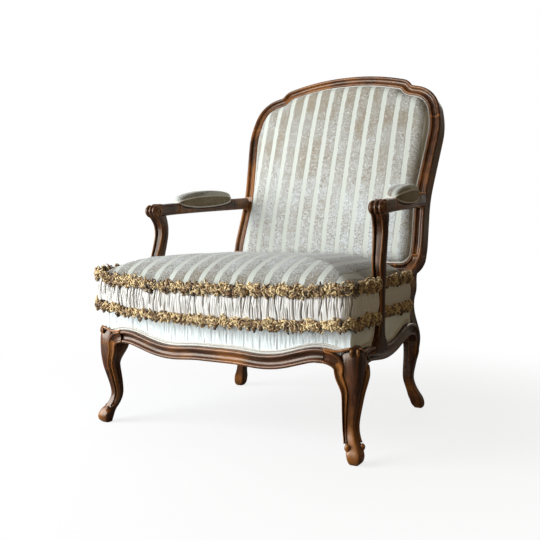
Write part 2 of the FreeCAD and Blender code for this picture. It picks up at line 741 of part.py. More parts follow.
def cushion_solid(skin):
    """Belly, drawn-in boxing and crown. The skin thickness is taken off all round."""
    middle = (BOXING_BOTTOM + BOXING_TOP) / 2
    belly = BOXING_BOTTOM - CUSHION_BOTTOM
    levels = [(CUSHION_BOTTOM + skin, BELLY_INSET), (CUSHION_BOTTOM + belly * 0.4 + skin, BELLY_INSET * 0.3)]
    levels += [(BOXING_BOTTOM + skin, 0), (middle, BOXING_DRAW), (BOXING_TOP - skin, 0)]
    for rise, draw in swell(CROWN_STEPS):
        levels.append((BOXING_TOP + CROWN_HEIGHT * rise - skin, CROWN_INSET * draw))
    return loft([cushion_section(z, inset + skin) for z, inset in levels], ruled=True)


def cushion_fringe(z, cushion):
    half = FRINGE_HEIGHT / 2
    edge = FRINGE_PROUD * 0.35
    levels = [(z - half, edge), (z - half / 2, FRINGE_PROUD), (z + half / 2, FRINGE_PROUD), (z + half, edge)]
    band = loft([cushion_section(height, -outset) for height, outset in levels], ruled=True)
    return largest_of_each([band.cut(cushion)])


def back_prism(inset, front, back):
    """Filler of the back frame between two depths behind its face."""
    face = back_face(inset)
    face.translate(Vec(0, front, 0))
    return face.extrude(Vec(0, back - front, 0))


def back_pad():
    inset = BACK_BAND_WIDTH / 2 + 2 * WELT + CLEAR
    body = back_prism(inset, -2 * BACK_CROWN, BACK_PAD_DEPTH)
    limit = body.BoundBox
    wide = limit.XLength + PAD_EDGE
    tall = limit.ZLength + PAD_EDGE
    sections = []
    for rise, share in [(-1, 0), (0, 0)] + swell(CROWN_STEPS):
        centre = Vec(0, BACK_PAD_FACE - BACK_CROWN * rise, limit.Center.z)
        draw = 2 * BACK_CROWN_INSET * share
        sections.append(
            rounded_rectangle(centre, Vec(1, 0, 0), Vec(0, 0, 1), wide - draw, tall - draw, BACK_PAD_ROUND))
    return lean(body.common(loft(sections, ruled=True)))


def back_welt():
    start = Vec(0, BACK_PAD_FACE, up(BACK_LINE[0][1]) - BACK_BAND_WIDTH / 2 - WELT - FIT)
    half = back_half(Part.Wire(Part.makeCircle(WELT, start, Vec(1, 0, 0))))
    return lean(half.fuse(mirrored(half)).removeSplitter())


def back_webbing(long_way, front):
    bounds = back_prism(BACK_BAND_WIDTH / 2, front, front + WEBBING_THICKNESS)
    limit = bounds.BoundBox
    start, end = (limit.XMin, limit.XMax) if long_way else (limit.ZMin, limit.ZMax)
    count = int((end - start - BACK_WEB_WIDTH) // BACK_WEB_PITCH)
    first = (start + end) / 2 - (count - 1) * BACK_WEB_PITCH / 2
    pieces = []
    for i in range(count):
        low = first + i * BACK_WEB_PITCH - BACK_WEB_WIDTH / 2
        high = low + BACK_WEB_WIDTH
        strip = box(low, high, -BIG, BIG, 0, BIG) if long_way else box(-BIG, BIG, -BIG, BIG, low, high)
        pieces.append(lean(strip.common(bounds).Solids[0]))
    return Part.makeCompound(pieces)


def deck_welt(points, face):
    """Cord along the top of a moulded band, on the face of the deck."""
    profile = cord_ring(points[0][0], square_to(points, face), face, BAND_WIDTH / 2 + WELT + FIT, WELT)
    return sweep(Part.Wire(rounded_edges(points)), profile, face)


def front_deck_welt():
    """Welt along the front, from knee to knee."""
    reach = FRONT_SHOULDER_X + WELT
    return deck_welt(front_points()[1:-1], Vec(0, -1, 0)).common(box(-reach, reach, -BIG, BIG, 0, BIG))


def side_deck_welt():
    """Welt along one side, before and behind the arm support."""
    cord = deck_welt(side_points()[1:-1], SIDE_OUT)
    cord = cord.common(side_box(-SIDE_FRONT_SHOULDER, SIDE_REAR_SHOULDER, -BIG, BIG, 0, BIG))
    return cord.cut(arm_support_solid(FIT))


def build():
    parts = {}
    band_front = band(front_points(), Vec(0, -1, 0))
    band_side = band(side_points(), SIDE_OUT)
    band_back = back_band()
    arm = arm_solid()
    left = {
        "front_leg": front_leg(band_front, band_side),
        "back_post": back_post(band_back, band_side),
        "side_seat_rail": side_rail(band_side),
        "arm_rail": arm_rail(arm),
        "arm_support": arm_support(arm),
        "arm_pad": arm_pad(),
    }
    left["arm_pad_welt"] = arm_pad_welt(arm, left["arm_pad"])
    parts["front_seat_rail"] = front_rail(band_front)
    body = back_post_body()
    parts["rear_seat_rail"] = rear_rail([body, mirrored(body)])
    parts["crest_rail"] = crest_rail(band_back)
    parts["lower_back_rail"] = lower_back_rail(band_back)

    corners = {"front": [left["front_leg"]], "rear": [left["back_post"]]}
    screws = []
    blocks = []
    for name, pieces in corners.items():
        block, screw = corner_blocks(pieces, name == "front")
        pair = [block, mirrored(block)]
        parts[name + "_corner_blocks"] = Part.makeCompound(pair)
        screws += [screw, mirrored(screw)]
        blocks += pair
    left["front_leg"] = left["front_leg"].cut(screws[0])
    left["back_post"] = left["back_post"].cut(screws[2])
    parts["corner_block_screws"] = Part.makeCompound(screws)

    half_frame = [left[name] for name in ("front_leg", "back_post", "side_seat_rail", "arm_support")]
    parts["seat_deck_cover"] = seat_deck_cover(half_frame + [parts["front_seat_rail"]])
    support = arm_support_solid(FIT)
    uprights = [body, mirrored(body), support, mirrored(support)]
    parts["seat_stuffing"] = seat_stuffing(blocks + screws, uprights)
    parts["deck_welt_front"] = front_deck_welt()
    left["deck_welt"] = side_deck_welt()

    rear = REAR_RAIL_Y + REAR_RAIL_THICKNESS / 2
    under = BOARD_BOTTOM - WEBBING_THICKNESS
    lengthwise = straps(True, inner_outline(CLEAR - BOARD_THICKNESS / 2, rear), under, WEBBING_THICKNESS,
                        WEBBING_WIDTH, WEBBING_PITCH)
    parts["seat_webbing_lengthwise"] = Part.makeCompound(lengthwise)
    crosswise = straps(False, inner_outline(-BOARD_THICKNESS / 2, SIDE_REAR_SHOULDER),
                       under - WEBBING_THICKNESS, WEBBING_THICKNESS, WEBBING_WIDTH, WEBBING_PITCH)
    parts["seat_webbing_crosswise"] = Part.makeCompound(crosswise)
    inner = inner_outline(CLEAR, REAR_RAIL_Y - CLEAR)
    corner = front_post_block(BOARD_TOP, CLEAR)
    hessian = prism(inner, BOARD_BOTTOM, BOARD_BOTTOM + HESSIAN)
    parts["seat_hessian"] = hessian.cut([corner, mirrored(corner), body, mirrored(body)])
    cover_top = under - WEBBING_THICKNESS
    cover_outline = inner_outline(-BOARD_THICKNESS / 2, rear)
    half = prism(cover_outline, cover_top - DUST_COVER_THICKNESS, cover_top)
    half = half.common(box(0, BIG, -BIG, BIG, 0, BIG)).cut([left["front_leg"], left["back_post"]]).Solids[0]
    parts["dust_cover"] = half.fuse(mirrored(half)).removeSplitter()

    cushion = cushion_solid(0)
    filling = cushion_solid(CLOTH)
    parts["cushion_cover"] = cushion.cut(filling)
    parts["cushion_filling"] = filling
    parts["cushion_fringe_top"] = cushion_fringe(BOXING_TOP, cushion)
    parts["cushion_fringe_bottom"] = cushion_fringe(BOXING_BOTTOM, cushion)

    parts["back_pad"] = back_pad()
    parts["back_welt"] = largest_of_each([back_welt().cut([left["back_post"], mirrored(left["back_post"])])])
    parts["back_webbing_upright"] = back_webbing(True, BACK_PAD_DEPTH)
    parts["back_webbing_cross"] = back_webbing(False, BACK_PAD_DEPTH + WEBBING_THICKNESS)
    parts["outside_back_panel"] = lean(
        back_prism(BACK_BAND_WIDTH / 2 + CLEAR / 2, BACK_BAND_DEPTH - OUTSIDE_PANEL - OUTSIDE_RECESS,
                   BACK_BAND_DEPTH - OUTSIDE_RECESS))

    for name, shape in left.items():
        parts[name + "_left"] = shape
        parts[name + "_right"] = mirrored(shape)
    return parts


def plain(shape):
    """A lone solid by itself, several as a compound."""
    return shape.Solids[0] if len(shape.Solids) == 1 else Part.makeCompound(shape.Solids)


def main():
    os.makedirs("parts", exist_ok=True)
    parts = build()
    front = parts["cushion_fringe_top"].optimalBoundingBox(False).YMin
    rear = parts["crest_rail"].optimalBoundingBox(False).YMax
    shift = -(front + rear) / 2
    for name, shape in sorted(parts.items()):
        piece = plain(shape)
        piece.translate(Vec(0, shift, 0))
        piece.exportStep("parts/" + name + ".step")
    print("nodes", len(parts), "shift", round(shift, 3), "depth", round(rear - front, 2))


main()
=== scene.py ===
"""Looks of a carved open armchair with a striped back and a loose fringed seat cushion.

Metres, +Z up, the chair faces -Y and the sitter's left is +X. Places are given from the middle of the feet,
and every mesh is carried from there to the frame's own origin when it is made.
"""

import json
import math
import random

import bpy
import numpy as np
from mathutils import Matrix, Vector

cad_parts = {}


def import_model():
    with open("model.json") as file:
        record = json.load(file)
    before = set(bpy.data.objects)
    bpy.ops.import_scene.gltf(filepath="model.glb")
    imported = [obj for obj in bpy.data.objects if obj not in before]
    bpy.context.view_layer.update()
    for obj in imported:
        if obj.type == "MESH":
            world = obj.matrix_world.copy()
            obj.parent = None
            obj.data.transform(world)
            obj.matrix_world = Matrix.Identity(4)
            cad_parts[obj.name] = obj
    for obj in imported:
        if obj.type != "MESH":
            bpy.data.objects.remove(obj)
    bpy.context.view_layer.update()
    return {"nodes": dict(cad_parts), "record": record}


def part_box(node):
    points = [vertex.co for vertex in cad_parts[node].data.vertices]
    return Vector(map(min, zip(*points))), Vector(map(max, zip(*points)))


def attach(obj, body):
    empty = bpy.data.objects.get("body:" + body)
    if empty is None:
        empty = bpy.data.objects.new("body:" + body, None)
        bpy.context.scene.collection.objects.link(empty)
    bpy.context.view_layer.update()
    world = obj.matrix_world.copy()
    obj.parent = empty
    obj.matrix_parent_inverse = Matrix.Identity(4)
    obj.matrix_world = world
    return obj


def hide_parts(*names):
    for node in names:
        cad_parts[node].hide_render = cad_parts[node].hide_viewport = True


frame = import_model()
NODES = frame["nodes"]

# Where the middle of the feet lies in the frame.
FRONT_FOOT_Y = -0.2953
MOUNTS = {mount["name"]: mount["pos_m"] for mount in frame["record"]["mounts"]}
SHIFT = np.array([0.0, MOUNTS["front_left_foot"][1] - FRONT_FOOT_Y, 0.0])

# Camera, as the photograph was taken.
CAMERA_PLACE = Vector((1.031, -1.796, 0.525))
CAMERA_TARGET = Vector((-0.025, 0.0, 0.412))
CAMERA_LENS = 49.2

# Back frame, in its own raked plane: half line of the moulding as across, height, corner radius.
RAKE = math.radians(17.8)
BACK_FOOT_Y = 0.124
BACK_LINE = [
    (0.100, 1.012, 0.690), (0.207, 0.984, 0.030), (0.221, 0.965, 0.030), (0.297, 0.948, 0.084),
    (0.323, 0.850, 0.240), (0.300, 0.630, 0.600), (0.309, 0.484, 0.300), (0.306, 0.413, 0.046),
]
BACK_BAND = 0.032
WELT = 0.0026
# Between the rows of a double piping, in welts.
PIPING_STEP = 2.1
BACK_CROWN = 0.014
BACK_EDGE_RISE = 0.026
BACK_PAD_FACE = 0.006
BACK_EDGE_ROLL = 0.030
BACK_CROWN_REACH = 0.200
BACK_PANEL_DEPTH = 0.045
BACK_MIDDLE = np.array([0.0, 0.70])
BACK_PAD_REAR = 0.45 * BACK_PANEL_DEPTH
OUTSIDE_BACK_DEPTH = BACK_PANEL_DEPTH - 0.006
OUTSIDE_BACK_FRONT = BACK_PANEL_DEPTH - 0.010
# Rings of the outside back: size, and how far the cloth stands out there.
OUTSIDE_BACK_RINGS = [(1.0, 0.0), (1.0, 0.004), (0.94, 0.003), (0.7, 0.001), (0.4, 0.0), (0.15, 0.0)]

# Striped cover of the back and the cushion.
STRIPE_PITCH = 0.0466
STRIPE_IVORY = 0.33
BACK_STRIPE_START = 0.0165
SEAT_STRIPE_START = 0.010

# Loose cushion: half outline seen from above, with corner radii.
CUSHION_OUTLINE = [
    (0.376, -0.341, 0.036), (0.372, -0.160, 0.026), (0.321, -0.138, 0.026), (0.329, 0.060, 0.150),
    (0.321, 0.207, 0.030),
]
CUSHION_BOTTOM = 0.2906
BOXING_BOTTOM = 0.305
BOXING_TOP = 0.384
CROWN_HEIGHT = 0.068
CROWN_INSET = 0.185
UPPER_FRINGE_HEIGHT = 0.045
LOWER_FRINGE_HEIGHT = 0.036
CORNER_LIFT = 0.013
FAR_CORNER_LIFT = 0.014
CUSHION_MIDDLE = np.array([0.0, -0.09])
TOP_TUCK = 0.022
TOP_INSET = 0.003
PUFF_PRESSURE = 3.0
PUFF_LIMIT = 0.010
GATHER_DEPTH = 0.0075
BOXING_SWELL = 0.007
BOXING_INSET = 0.004
FRINGE_LOOPS = 4800
LOOP_REACH = (0.0075, 0.0130)
LOOP_WIDTH = (0.0030, 0.0055)
YARN_RADIUS = (0.0013, 0.0019)
# Gathers of the boxing, bold and fine: their gaps, widths and strengths, each as least and most.
GATHERS = [
    ((0.007, 0.024), (0.0008, 0.0017), (0.5, 1.0)),
    ((0.0025, 0.006), (0.0008, 0.0015), (0.08, 0.32)),
]
# Where a gather can start and end between the lower edge of the boxing, 0, and the upper, 1.
GATHER_REACHES = ((-0.3, 0.75), (0.2, 1.3), (-0.3, 1.3), (0.35, 1.3))

# Seat rails and the deck cloth over them.
RAIL_FRONT_Y = -0.318
RAIL_SETBACK = 0.018
CLOTH = 0.003
DECK_HEM = 0.222
DECK_TOP = 0.290
DECK_REAR_Y = 0.265
DECK_ROUND_Y = 0.190
DECK_ROUND = 0.030
DECK_HALF = np.array([0.36, 0.30])
DECK_EDGE = 0.003
DECK_HEM_TURN = 0.010
DUST_CLOTH_INSET = 0.031
DUST_CLOTH_REAR_Y = 0.26
DUST_CLOTH_SAG = 0.004
SIDE_FRONT_X = 0.378
SIDE_REAR_X = 0.318
FOOT_SPAN = 0.296
CRINKLE_DEPTH = 0.0006
# Crinkles of the deck cloth: width in points of its outline, and strength.
CRINKLES = ((2, 1.0), (3, 1.0), (6, 0.5))

# Middle of the moulded band: half of the front as across and height, a side as along and height, with radii.
BAND_WIDTH = 0.034
FRONT_BAND = [(0.060, 0.2175, 0.400), (0.160, 0.2105, 0.280), (0.284, 0.246, 0.126), (0.349, 0.231, 0.0)]
SIDE_PANEL_FRONT = [
    (-0.297, 0.2545, 0), (-0.200, 0.2545, 0.060), (-0.168, 0.254, 0.030), (-0.138, 0.282, 0.020),
    (-0.146, 0.304, 0),
]
SIDE_PANEL_REAR = [
    (-0.097, 0.302, 0), (-0.097, 0.268, 0.020), (-0.060, 0.238, 0.026), (0.010, 0.237, 0.200),
    (0.160, 0.270, 0.160), (0.212, 0.266, 0.020), (0.206, 0.302, 0),
]

# Arm pads: along, across, middle height of the arm there, width and height of the arm.
ARM = [
    (-0.014, 0.3429, 0.5891, 0.036, 0.034), (0.020, 0.340, 0.592, 0.036, 0.034),
    (0.120, 0.331, 0.600, 0.036, 0.035), (0.226, 0.3175, 0.6077, 0.036, 0.036),
]
PAD_SCOOP = 0.0205
PAD_PROUD = 0.0055
PAD_SIDE_RISE = 0.014
PAD_TOP_RISE = 0.017
PAD_PIPING = 0.0021

# Front leg: height, offset along the diagonal, side of its square section.
LEG_FOOT = (0.370, -0.296)
LEG = [
    (0.000, -0.0010, 0.0200), (0.005, 0.0020, 0.0270), (0.014, 0.0030, 0.0330), (0.024, 0.0010, 0.0345),
    (0.034, -0.0040, 0.0330), (0.048, -0.0160, 0.0285), (0.064, -0.0250, 0.0260), (0.080, -0.0285, 0.0260),
    (0.098, -0.0270, 0.0280), (0.124, -0.0220, 0.0320), (0.158, -0.0150, 0.0380), (0.185, -0.0135, 0.0450),
    (0.215, -0.0150, 0.0510), (0.262, -0.0180, 0.0530),
]
KNEE_DOME = 0.232
KNEE_TOP = 0.266
KNEE_FLARE = 0.016
KNEE_PEAK = 0.003
KNEE_SPAN = (0.10, 0.19)
FLARE_RISE = (0.158, 0.212)
FLARE_FALL = (0.222, 0.234)

# Moulding: bead, cove and bead across its width, and its height at its least and greatest width.
MOULD_PLACES = [-0.5, -0.47, -0.38, -0.27, -0.22, 0.0, 0.14, 0.19, 0.24, 0.36, 0.47, 0.5]
MOULD_RELIEF = [-0.3, 0.35, 0.85, 0.35, -0.25, -0.35, 0.05, -0.15, 0.4, 1.0, 0.4, -0.3]
MOULD_WIDTHS = [0.009, 0.034]
MOULD_HEIGHTS = [0.0042, 0.0054]
MOULD_SUNK = 0.009
MOULD_START = 0.200
MOULD_END = 0.046
MOULD_OVERHANG = 0.0015
# Its width down the leg, at these heights.
LEG_MOULD_HEIGHTS = [0.05, 0.08, 0.13, 0.19]
LEG_MOULD_WIDTHS = [0.009, 0.010, 0.014, 0.022]
# How far a carving lies off the face under it.
SKIN = 0.0002
# Where it leaves the front and the side rail for the leg: along the rail, height, place out, width.
FRONT_TURN = [
    (0.300, 0.2415, -0.3155, 0.034), (0.316, 0.2380, -0.3150, 0.034), (0.328, 0.2310, -0.3130, 0.033),
    (0.336, 0.219, -0.3115, 0.029),
]
SIDE_TURN = [
    (-0.222, 0.2335, 0.3685, 0.034), (-0.240, 0.2325, 0.3715, 0.034), (-0.2520, 0.2280, 0.3760, 0.033),
    (-0.2580, 0.216, 0.3800, 0.029),
]

# Carving of the front leg: pearls on the toe, petals on the knee, beads beside it and a post inside.
PEARL_Z = 0.038
PEARL_IN = 0.007
PEARL_OUT = 0.001
PEARL_WIDE, PEARL_DEEP, PEARL_TALL = 0.0068, 0.0062, 0.0086
PETALS = [((0.3665, -0.3115, 0.2535), (0.0048, 0.0042, 0.0085)),
          ((0.3790, -0.3035, 0.2535), (0.0046, 0.0046, 0.0085))]
KNEE_BEADS = [
    [(0.300, -0.3165, 0.2575), (0.318, -0.3155, 0.2545), (0.336, -0.3135, 0.2545), (0.352, -0.3120, 0.2595),
     (0.364, -0.3110, 0.2630)],
    [(0.3705, -0.222, 0.2520), (0.3740, -0.246, 0.2510), (0.3790, -0.268, 0.2515), (0.3820, -0.286, 0.2570),
     (0.3820, -0.298, 0.2620)],
]
KNEE_BEAD_RADIUS = 0.0034
POST = [(0.309, -0.2995), (0.359, -0.2995), (0.355, -0.2450), (0.309, -0.2450)]
POST_ENDS = (0.226, 0.286)

# Arm support: height, along, across, depth and width of its section.
SUPPORT = [
    (0.232, -0.124, 0.353, 0.104, 0.026), (0.248, -0.122, 0.353, 0.076, 0.026),
    (0.264, -0.120, 0.352, 0.046, 0.025), (0.286, -0.116, 0.351, 0.036, 0.024),
    (0.312, -0.109, 0.350, 0.031, 0.022), (0.350, -0.105, 0.348, 0.028, 0.023),
    (0.400, -0.104, 0.347, 0.031, 0.027), (0.447, -0.102, 0.345, 0.034, 0.031),
    (0.481, -0.094, 0.343, 0.030, 0.034), (0.515, -0.088, 0.342, 0.028, 0.036),
    (0.540, -0.090, 0.343, 0.032, 0.037), (0.558, -0.097, 0.345, 0.042, 0.037),
    (0.566, -0.102, 0.346, 0.048, 0.037),
]

# Reeds: how far they swell, how deep and how wide the cuts between them are.
SUPPORT_REEDS = (0.0022, 0.0045, 0.09)
HAND_REEDS = (0.0012, 0.0022, 0.08)
REED_START = (0.262, 0.312)
# Cuts along the support and the arm: distance from the edge, depth, width.
SUPPORT_CUT = (0.008, 0.0020, 0.0018)
ARM_LOW_CUT = (0.0065, 0.0016, 0.0014)
ARM_HIGH_CUT = (0.0055, 0.0014, 0.0013)

# Arm rail: along, across, middle height, width and height of its section. Then its rolled hand.
ARM_RAIL = [
    (-0.121, 0.347, 0.580, 0.035, 0.032), (-0.100, 0.347, 0.581, 0.036, 0.034),
    (-0.050, 0.345, 0.586, 0.036, 0.034), (0.020, 0.340, 0.592, 0.036, 0.034),
    (0.120, 0.331, 0.600, 0.036, 0.035), (0.230, 0.317, 0.608, 0.036, 0.036),
    (0.3085, 0.3067, 0.6138, 0.035, 0.037),
]
ARM_BREAKS = (-0.021, 0.2335)
BREAK_DEPTH = 0.0022
BREAK_WIDTH = 0.0013
HAND_Y = -0.119
HAND_Z = 0.579
HAND_RADIUS = 0.0172
HAND_WIDTH = 0.037
VOLUTE_RADII = (0.0120, 0.0050)
VOLUTE_LINE = 0.0011
LEAF_PLACES = (-0.010, 0.0, 0.010)
LEAF_Y = -0.099
LEAF_Z = 0.598
LEAF_RADII = (0.0046, 0.012, 0.0028)

# Lamps: place, target, size, power, colour.
LAMPS = {
    "key": ((-1.95, -2.25, 1.25), (0, -0.1, 0.5), 2.6, 160, (0.96, 0.99, 1.0)),
    "fill": ((2.8, -1.6, 1.6), (0, -0.1, 0.5), 1.5, 7, (1.0, 0.76, 0.42)),
    "rear": ((-0.7, 3.1, 1.3), (0, 0.1, 0.6), 1.6, 20, (1.0, 0.96, 0.90)),
}

FLOOR_BOUNCE = (0.16, 0.14, 0.12)
FLOOR_SEEN = (0.95, 0.95, 0.95)
SKY_COOL = (0.86, 0.91, 1.0)
SKY_WARM = (1.0, 0.80, 0.52)
WHITE = (1, 1, 1, 1)

SIDES = (("left", 1), ("right", -1))
# A direction that no tube follows.
OFF_AXIS = (0.13, 0.27, 0.95)
VOXEL = 0.006
SIM_FRAMES = 20


# Small tools for points and meshes.
def ramp(value, start, end):
    """A smooth step from 0 at the start to 1 at the end."""
    share = np.clip((value - start) / (end - start), 0, 1)
    return share * share * (3 - 2 * share)


def bell(distance, width):
    """1 at no distance, fading to nothing within about two widths."""
    return np.exp(-(distance / width) ** 2)


def circle(count):
    """Cosines and sines of even steps round a circle."""
    turn = np.linspace(0, 2 * math.pi, count, endpoint=False)
    return np.cos(turn), np.sin(turn)


def stacked(*columns):
    """Points from their columns. A column can be a single number."""
    return np.column_stack(np.broadcast_arrays(*columns))


def unit_rows(vectors):
    return vectors / np.linalg.norm(vectors, axis=1)[:, None]


def run_of(line):
    """Distance along a line at each of its points."""
    return np.concatenate([[0], np.cumsum(np.linalg.norm(np.diff(line, axis=0), axis=1))])


def shrunk(ring, middle, size):
    """A flat ring drawn towards a middle."""
    return middle + (ring - middle) * size


def rounded_line(corners, closed, spacing):
    """Points about a spacing apart along straight sides with tangent arcs. Corners are (x, y, radius)."""
    table = np.array(corners, float)
    places, radii = table[:, :2], table[:, 2]
    back, ahead = (np.roll(places, step, axis=0) - places for step in (1, -1))
    far, near = (np.linalg.norm(side, axis=1) for side in (back, ahead))
    back, ahead = unit_rows(back), unit_rows(ahead)
    half = np.arccos(np.clip(np.sum(back * ahead, axis=1), -1, 1)) / 2
    wanted = radii / np.tan(half)
    turning = range(len(places)) if closed else range(1, len(places) - 1)
    if not closed:
        wanted[[0, -1]] = 0
    line = [] if closed else [places[0]]
    for i in turning:
        after = (i + 1) % len(places)
        share = min(1.0, far[i] / (wanted[i - 1] + wanted[i]), near[i] / (wanted[i] + wanted[after]))
        reach = wanted[i] * share
        centre = places[i] + unit_rows([back[i] + ahead[i]])[0] * reach / math.cos(half[i])
        start, end = (places[i] + side[i] * reach - centre for side in (back, ahead))
        steps = max(2, int((math.pi - 2 * half[i]) * reach * math.tan(half[i]) / spacing))
        shares = np.linspace(0, 1, steps + 1)[:, None]
        line.extend(centre + unit_rows(start * (1 - shares) + end * shares) * np.linalg.norm(start))
    if not closed:
        line.append(places[-1])
    return resample(np.array(line), closed, spacing)


def resample(line, closed, spacing):
    """The same line with evenly spaced points."""
    if closed:
        line = np.vstack([line, line[:1]])
    run = run_of(line)
    count = max(3, int(round(run[-1] / spacing)))
    marks = np.linspace(0, run[-1], count + 1)
    if closed:
        marks = marks[:-1]
    return stacked(*(np.interp(marks, run, column) for column in line.T))


def cushion_ring(spacing):
    return rounded_line(both_halves(CUSHION_OUTLINE), True, spacing)


def both_halves(half):
    """Corners of a whole outline from its half on the sitter's left."""
    return half + [(-x, y, r) for x, y, r in reversed(half)]


def outward_normals(ring):
    """Unit normals of a closed flat ring, pointing away from its middle."""
    ahead = np.roll(ring, -1, axis=0) - np.roll(ring, 1, axis=0)
    normals = unit_rows(stacked(ahead[:, 1], -ahead[:, 0]))
    outside = np.sum(normals * (ring - ring.mean(axis=0)))
    return normals if outside > 0 else -normals


def left_normals(line):
    """Unit normals of an open flat line, pointing to its left."""
    ahead = np.gradient(line, axis=0)
    return unit_rows(stacked(-ahead[:, 1], ahead[:, 0]))


def linked(name, data):
    """A new object in the scene."""
    made = bpy.data.objects.new(name, data)
    bpy.context.scene.collection.objects.link(made)
    return made


def mesh_piece(name, shape, *materials, face_material=None):
    """Smooth mesh object from points about the middle of the feet, and their faces."""
    points, faces = shape
    mesh = bpy.data.meshes.new(name)
    mesh.from_pydata((np.asarray(points, float) + SHIFT).tolist(), [], faces)
    for material in materials:
        mesh.materials.append(MATERIALS[material])
    if face_material is not None:
        mesh.polygons.foreach_set("material_index", face_material)
    mesh.polygons.foreach_set("use_smooth", [True] * len(mesh.polygons))
    mesh.update()
    return linked(name, mesh)


def grid_faces(rows, columns, closed=False):
    """Quads between rings of points that follow each other, and from the last to the first if closed."""
    faces = []
    for r in range(rows if closed else rows - 1):
        low, high = r * columns, (r + 1) % rows * columns
        for c in range(columns):
            d = (c + 1) % columns
            faces.append((low + c, low + d, high + d, high + c))
    return faces


def ringed(rings, top_point=None, bottom_point=None):
    """Points and faces of rings of equal count, closed by a point at either end where one is given."""
    columns = len(rings[0])
    points = [p for ring in rings for p in ring]
    faces = grid_faces(len(rings), columns)
    if top_point is not None:
        last = (len(rings) - 1) * columns
        faces += [(last + c, last + (c + 1) % columns, len(points)) for c in range(columns)]
        points.append(top_point)
    if bottom_point is not None:
        faces += [((c + 1) % columns, c, len(points)) for c in range(columns)]
        points.append(bottom_point)
    return points, faces


def capped(rings):
    """Points and faces of rings, closed at the middle of the first and the last."""
    return ringed(rings, np.mean(rings[-1], axis=0), np.mean(rings[0], axis=0))


def tube(path, radius, sides=8, closed=False):
    """Points and faces of a round tube along a line of points."""
    path = np.asarray(path, float)
    ahead = np.gradient(path, axis=0)
    if closed:
        ahead = np.roll(path, -1, axis=0) - np.roll(path, 1, axis=0)
    across = unit_rows(np.cross(ahead, OFF_AXIS))
    other = np.cross(unit_rows(ahead), across)
    c, n = (values[:, None] for values in circle(sides))
    rings = path[:, None] + radius * (across[:, None] * c + other[:, None] * n)
    faces = grid_faces(len(path), sides, closed)
    if not closed:
        faces.append(tuple(reversed(range(sides))))
        faces.append(tuple((len(path) - 1) * sides + k for k in range(sides)))
    return rings.reshape(-1, 3), faces


def joined(parts):
    """Several (points, faces) as one."""
    points, faces = [], []
    for more_points, more_faces in parts:
        start = len(points)
        points += [tuple(p) for p in more_points]
        faces += [tuple(i + start for i in face) for face in more_faces]
    return points, faces


def lean(flat, depth):
    """Places on the raked back, as across and height on its face, at a depth behind that face."""
    x, height = np.atleast_2d(flat).T
    y = BACK_FOOT_Y + depth * math.cos(RAKE) + height * math.tan(RAKE)
    return stacked(x, y, height - depth * math.sin(RAKE))


def dress(piece, slot, *nodes, body="frame"):
    """Rides a piece on its body, in place of CAD nodes."""
    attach(piece, body)
    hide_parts(*nodes)


# Shader tools.
MATERIALS = {}


class Nodes:
    """A node tree, with short ways to add to it."""

    def __init__(self, tree):
        self.tree = tree

    def node(self, kind, settings=None, **sockets):
        made = self.tree.nodes.new("ShaderNode" + kind)
        for key, value in (settings or {}).items():
            setattr(made, key, value)
        for socket, value in sockets.items():
            self.feed(made.inputs[socket.replace("_", " ")], value)
        return made

    def feed(self, socket, value):
        if isinstance(value, bpy.types.NodeSocket):
            self.tree.links.new(value, socket)
        else:
            socket.default_value = value

    def where(self, kind="Object"):
        return self.node("TexCoord").outputs[kind]

    def axis(self, letter, kind="Object"):
        return self.node("SeparateXYZ", Vector=self.where(kind)).outputs[letter]

    def place(self, scale):
        """Object coordinates, stretched."""
        return self.node("Mapping", Vector=self.where(), Scale=scale).outputs["Vector"]

    def noise(self, scale, vector=None, detail=3.0, roughness=0.55, distortion=0.0):
        made = self.node("TexNoise", Vector=vector or self.where(), Scale=scale, Detail=detail,
                         Roughness=roughness, Distortion=distortion)
        return made.outputs["Fac"]

    def span(self, value, low, high, to_low=0.0, to_high=1.0, kind="SMOOTHSTEP"):
        """A value stretched between two limits, smoothly unless another kind is given."""
        made = self.node("MapRange", {"interpolation_type": kind}, Value=value, From_Min=low,
                         From_Max=high, To_Min=to_low, To_Max=to_high)
        return made.outputs["Result"]

    def math(self, operation, first, second=0.0):
        made = self.node("Math", {"operation": operation})
        self.feed(made.inputs[0], first)
        self.feed(made.inputs[1], second)
        return made.outputs["Value"]

    def mix(self, factor, first, second):
        made = self.node("Mix", {"data_type": "RGBA"})
        for index, value in ((0, factor), (6, first), (7, second)):
            if not isinstance(value, bpy.types.NodeSocket) and index:
                value = (*value, 1.0)
            self.feed(made.inputs[index], value)
        return made.outputs[2]

    def occlusion(self, distance, inside=False):
        """How open a place is within a distance, outside its surface or inside it."""
        settings = {"samples": 8, "only_local": True, "inside": inside}
        return self.node("AmbientOcclusion", settings, Distance=distance).outputs["AO"]

    def bump(self, height, distance, strength, normal=None):
        made = self.node("Bump", Height=height, Distance=distance, Strength=strength)
        if normal is not None:
            self.feed(made.inputs["Normal"], normal)
        return made.outputs["Normal"]

    def show(self, output, factor, first, second):
        """Sends a blend of two shaders to the output."""
        blend = self.node("MixShader")
        for socket, value in zip(blend.inputs, (factor, first, second)):
            self.feed(socket, value)
        self.feed(self.tree.nodes[output].inputs["Surface"], blend.outputs[0])


class Shader(Nodes):
    """A material around one principled shader, kept in MATERIALS by its name."""

    def __init__(self, name, **sockets):
        self.material = bpy.data.materials.new(name)
        self.material.use_nodes = True
        MATERIALS[name] = self.material
        super().__init__(self.material.node_tree)
        self.surface = self.tree.nodes["Principled BSDF"]
        for socket, value in sockets.items():
            self.surface.inputs[socket.replace("_", " ")].default_value = value

    def finish(self, colour, roughness=None, normal=None):
        for socket, value in (("Base Color", colour), ("Roughness", roughness), ("Normal", normal)):
            if value is not None:
                self.feed(self.surface.inputs[socket], value)


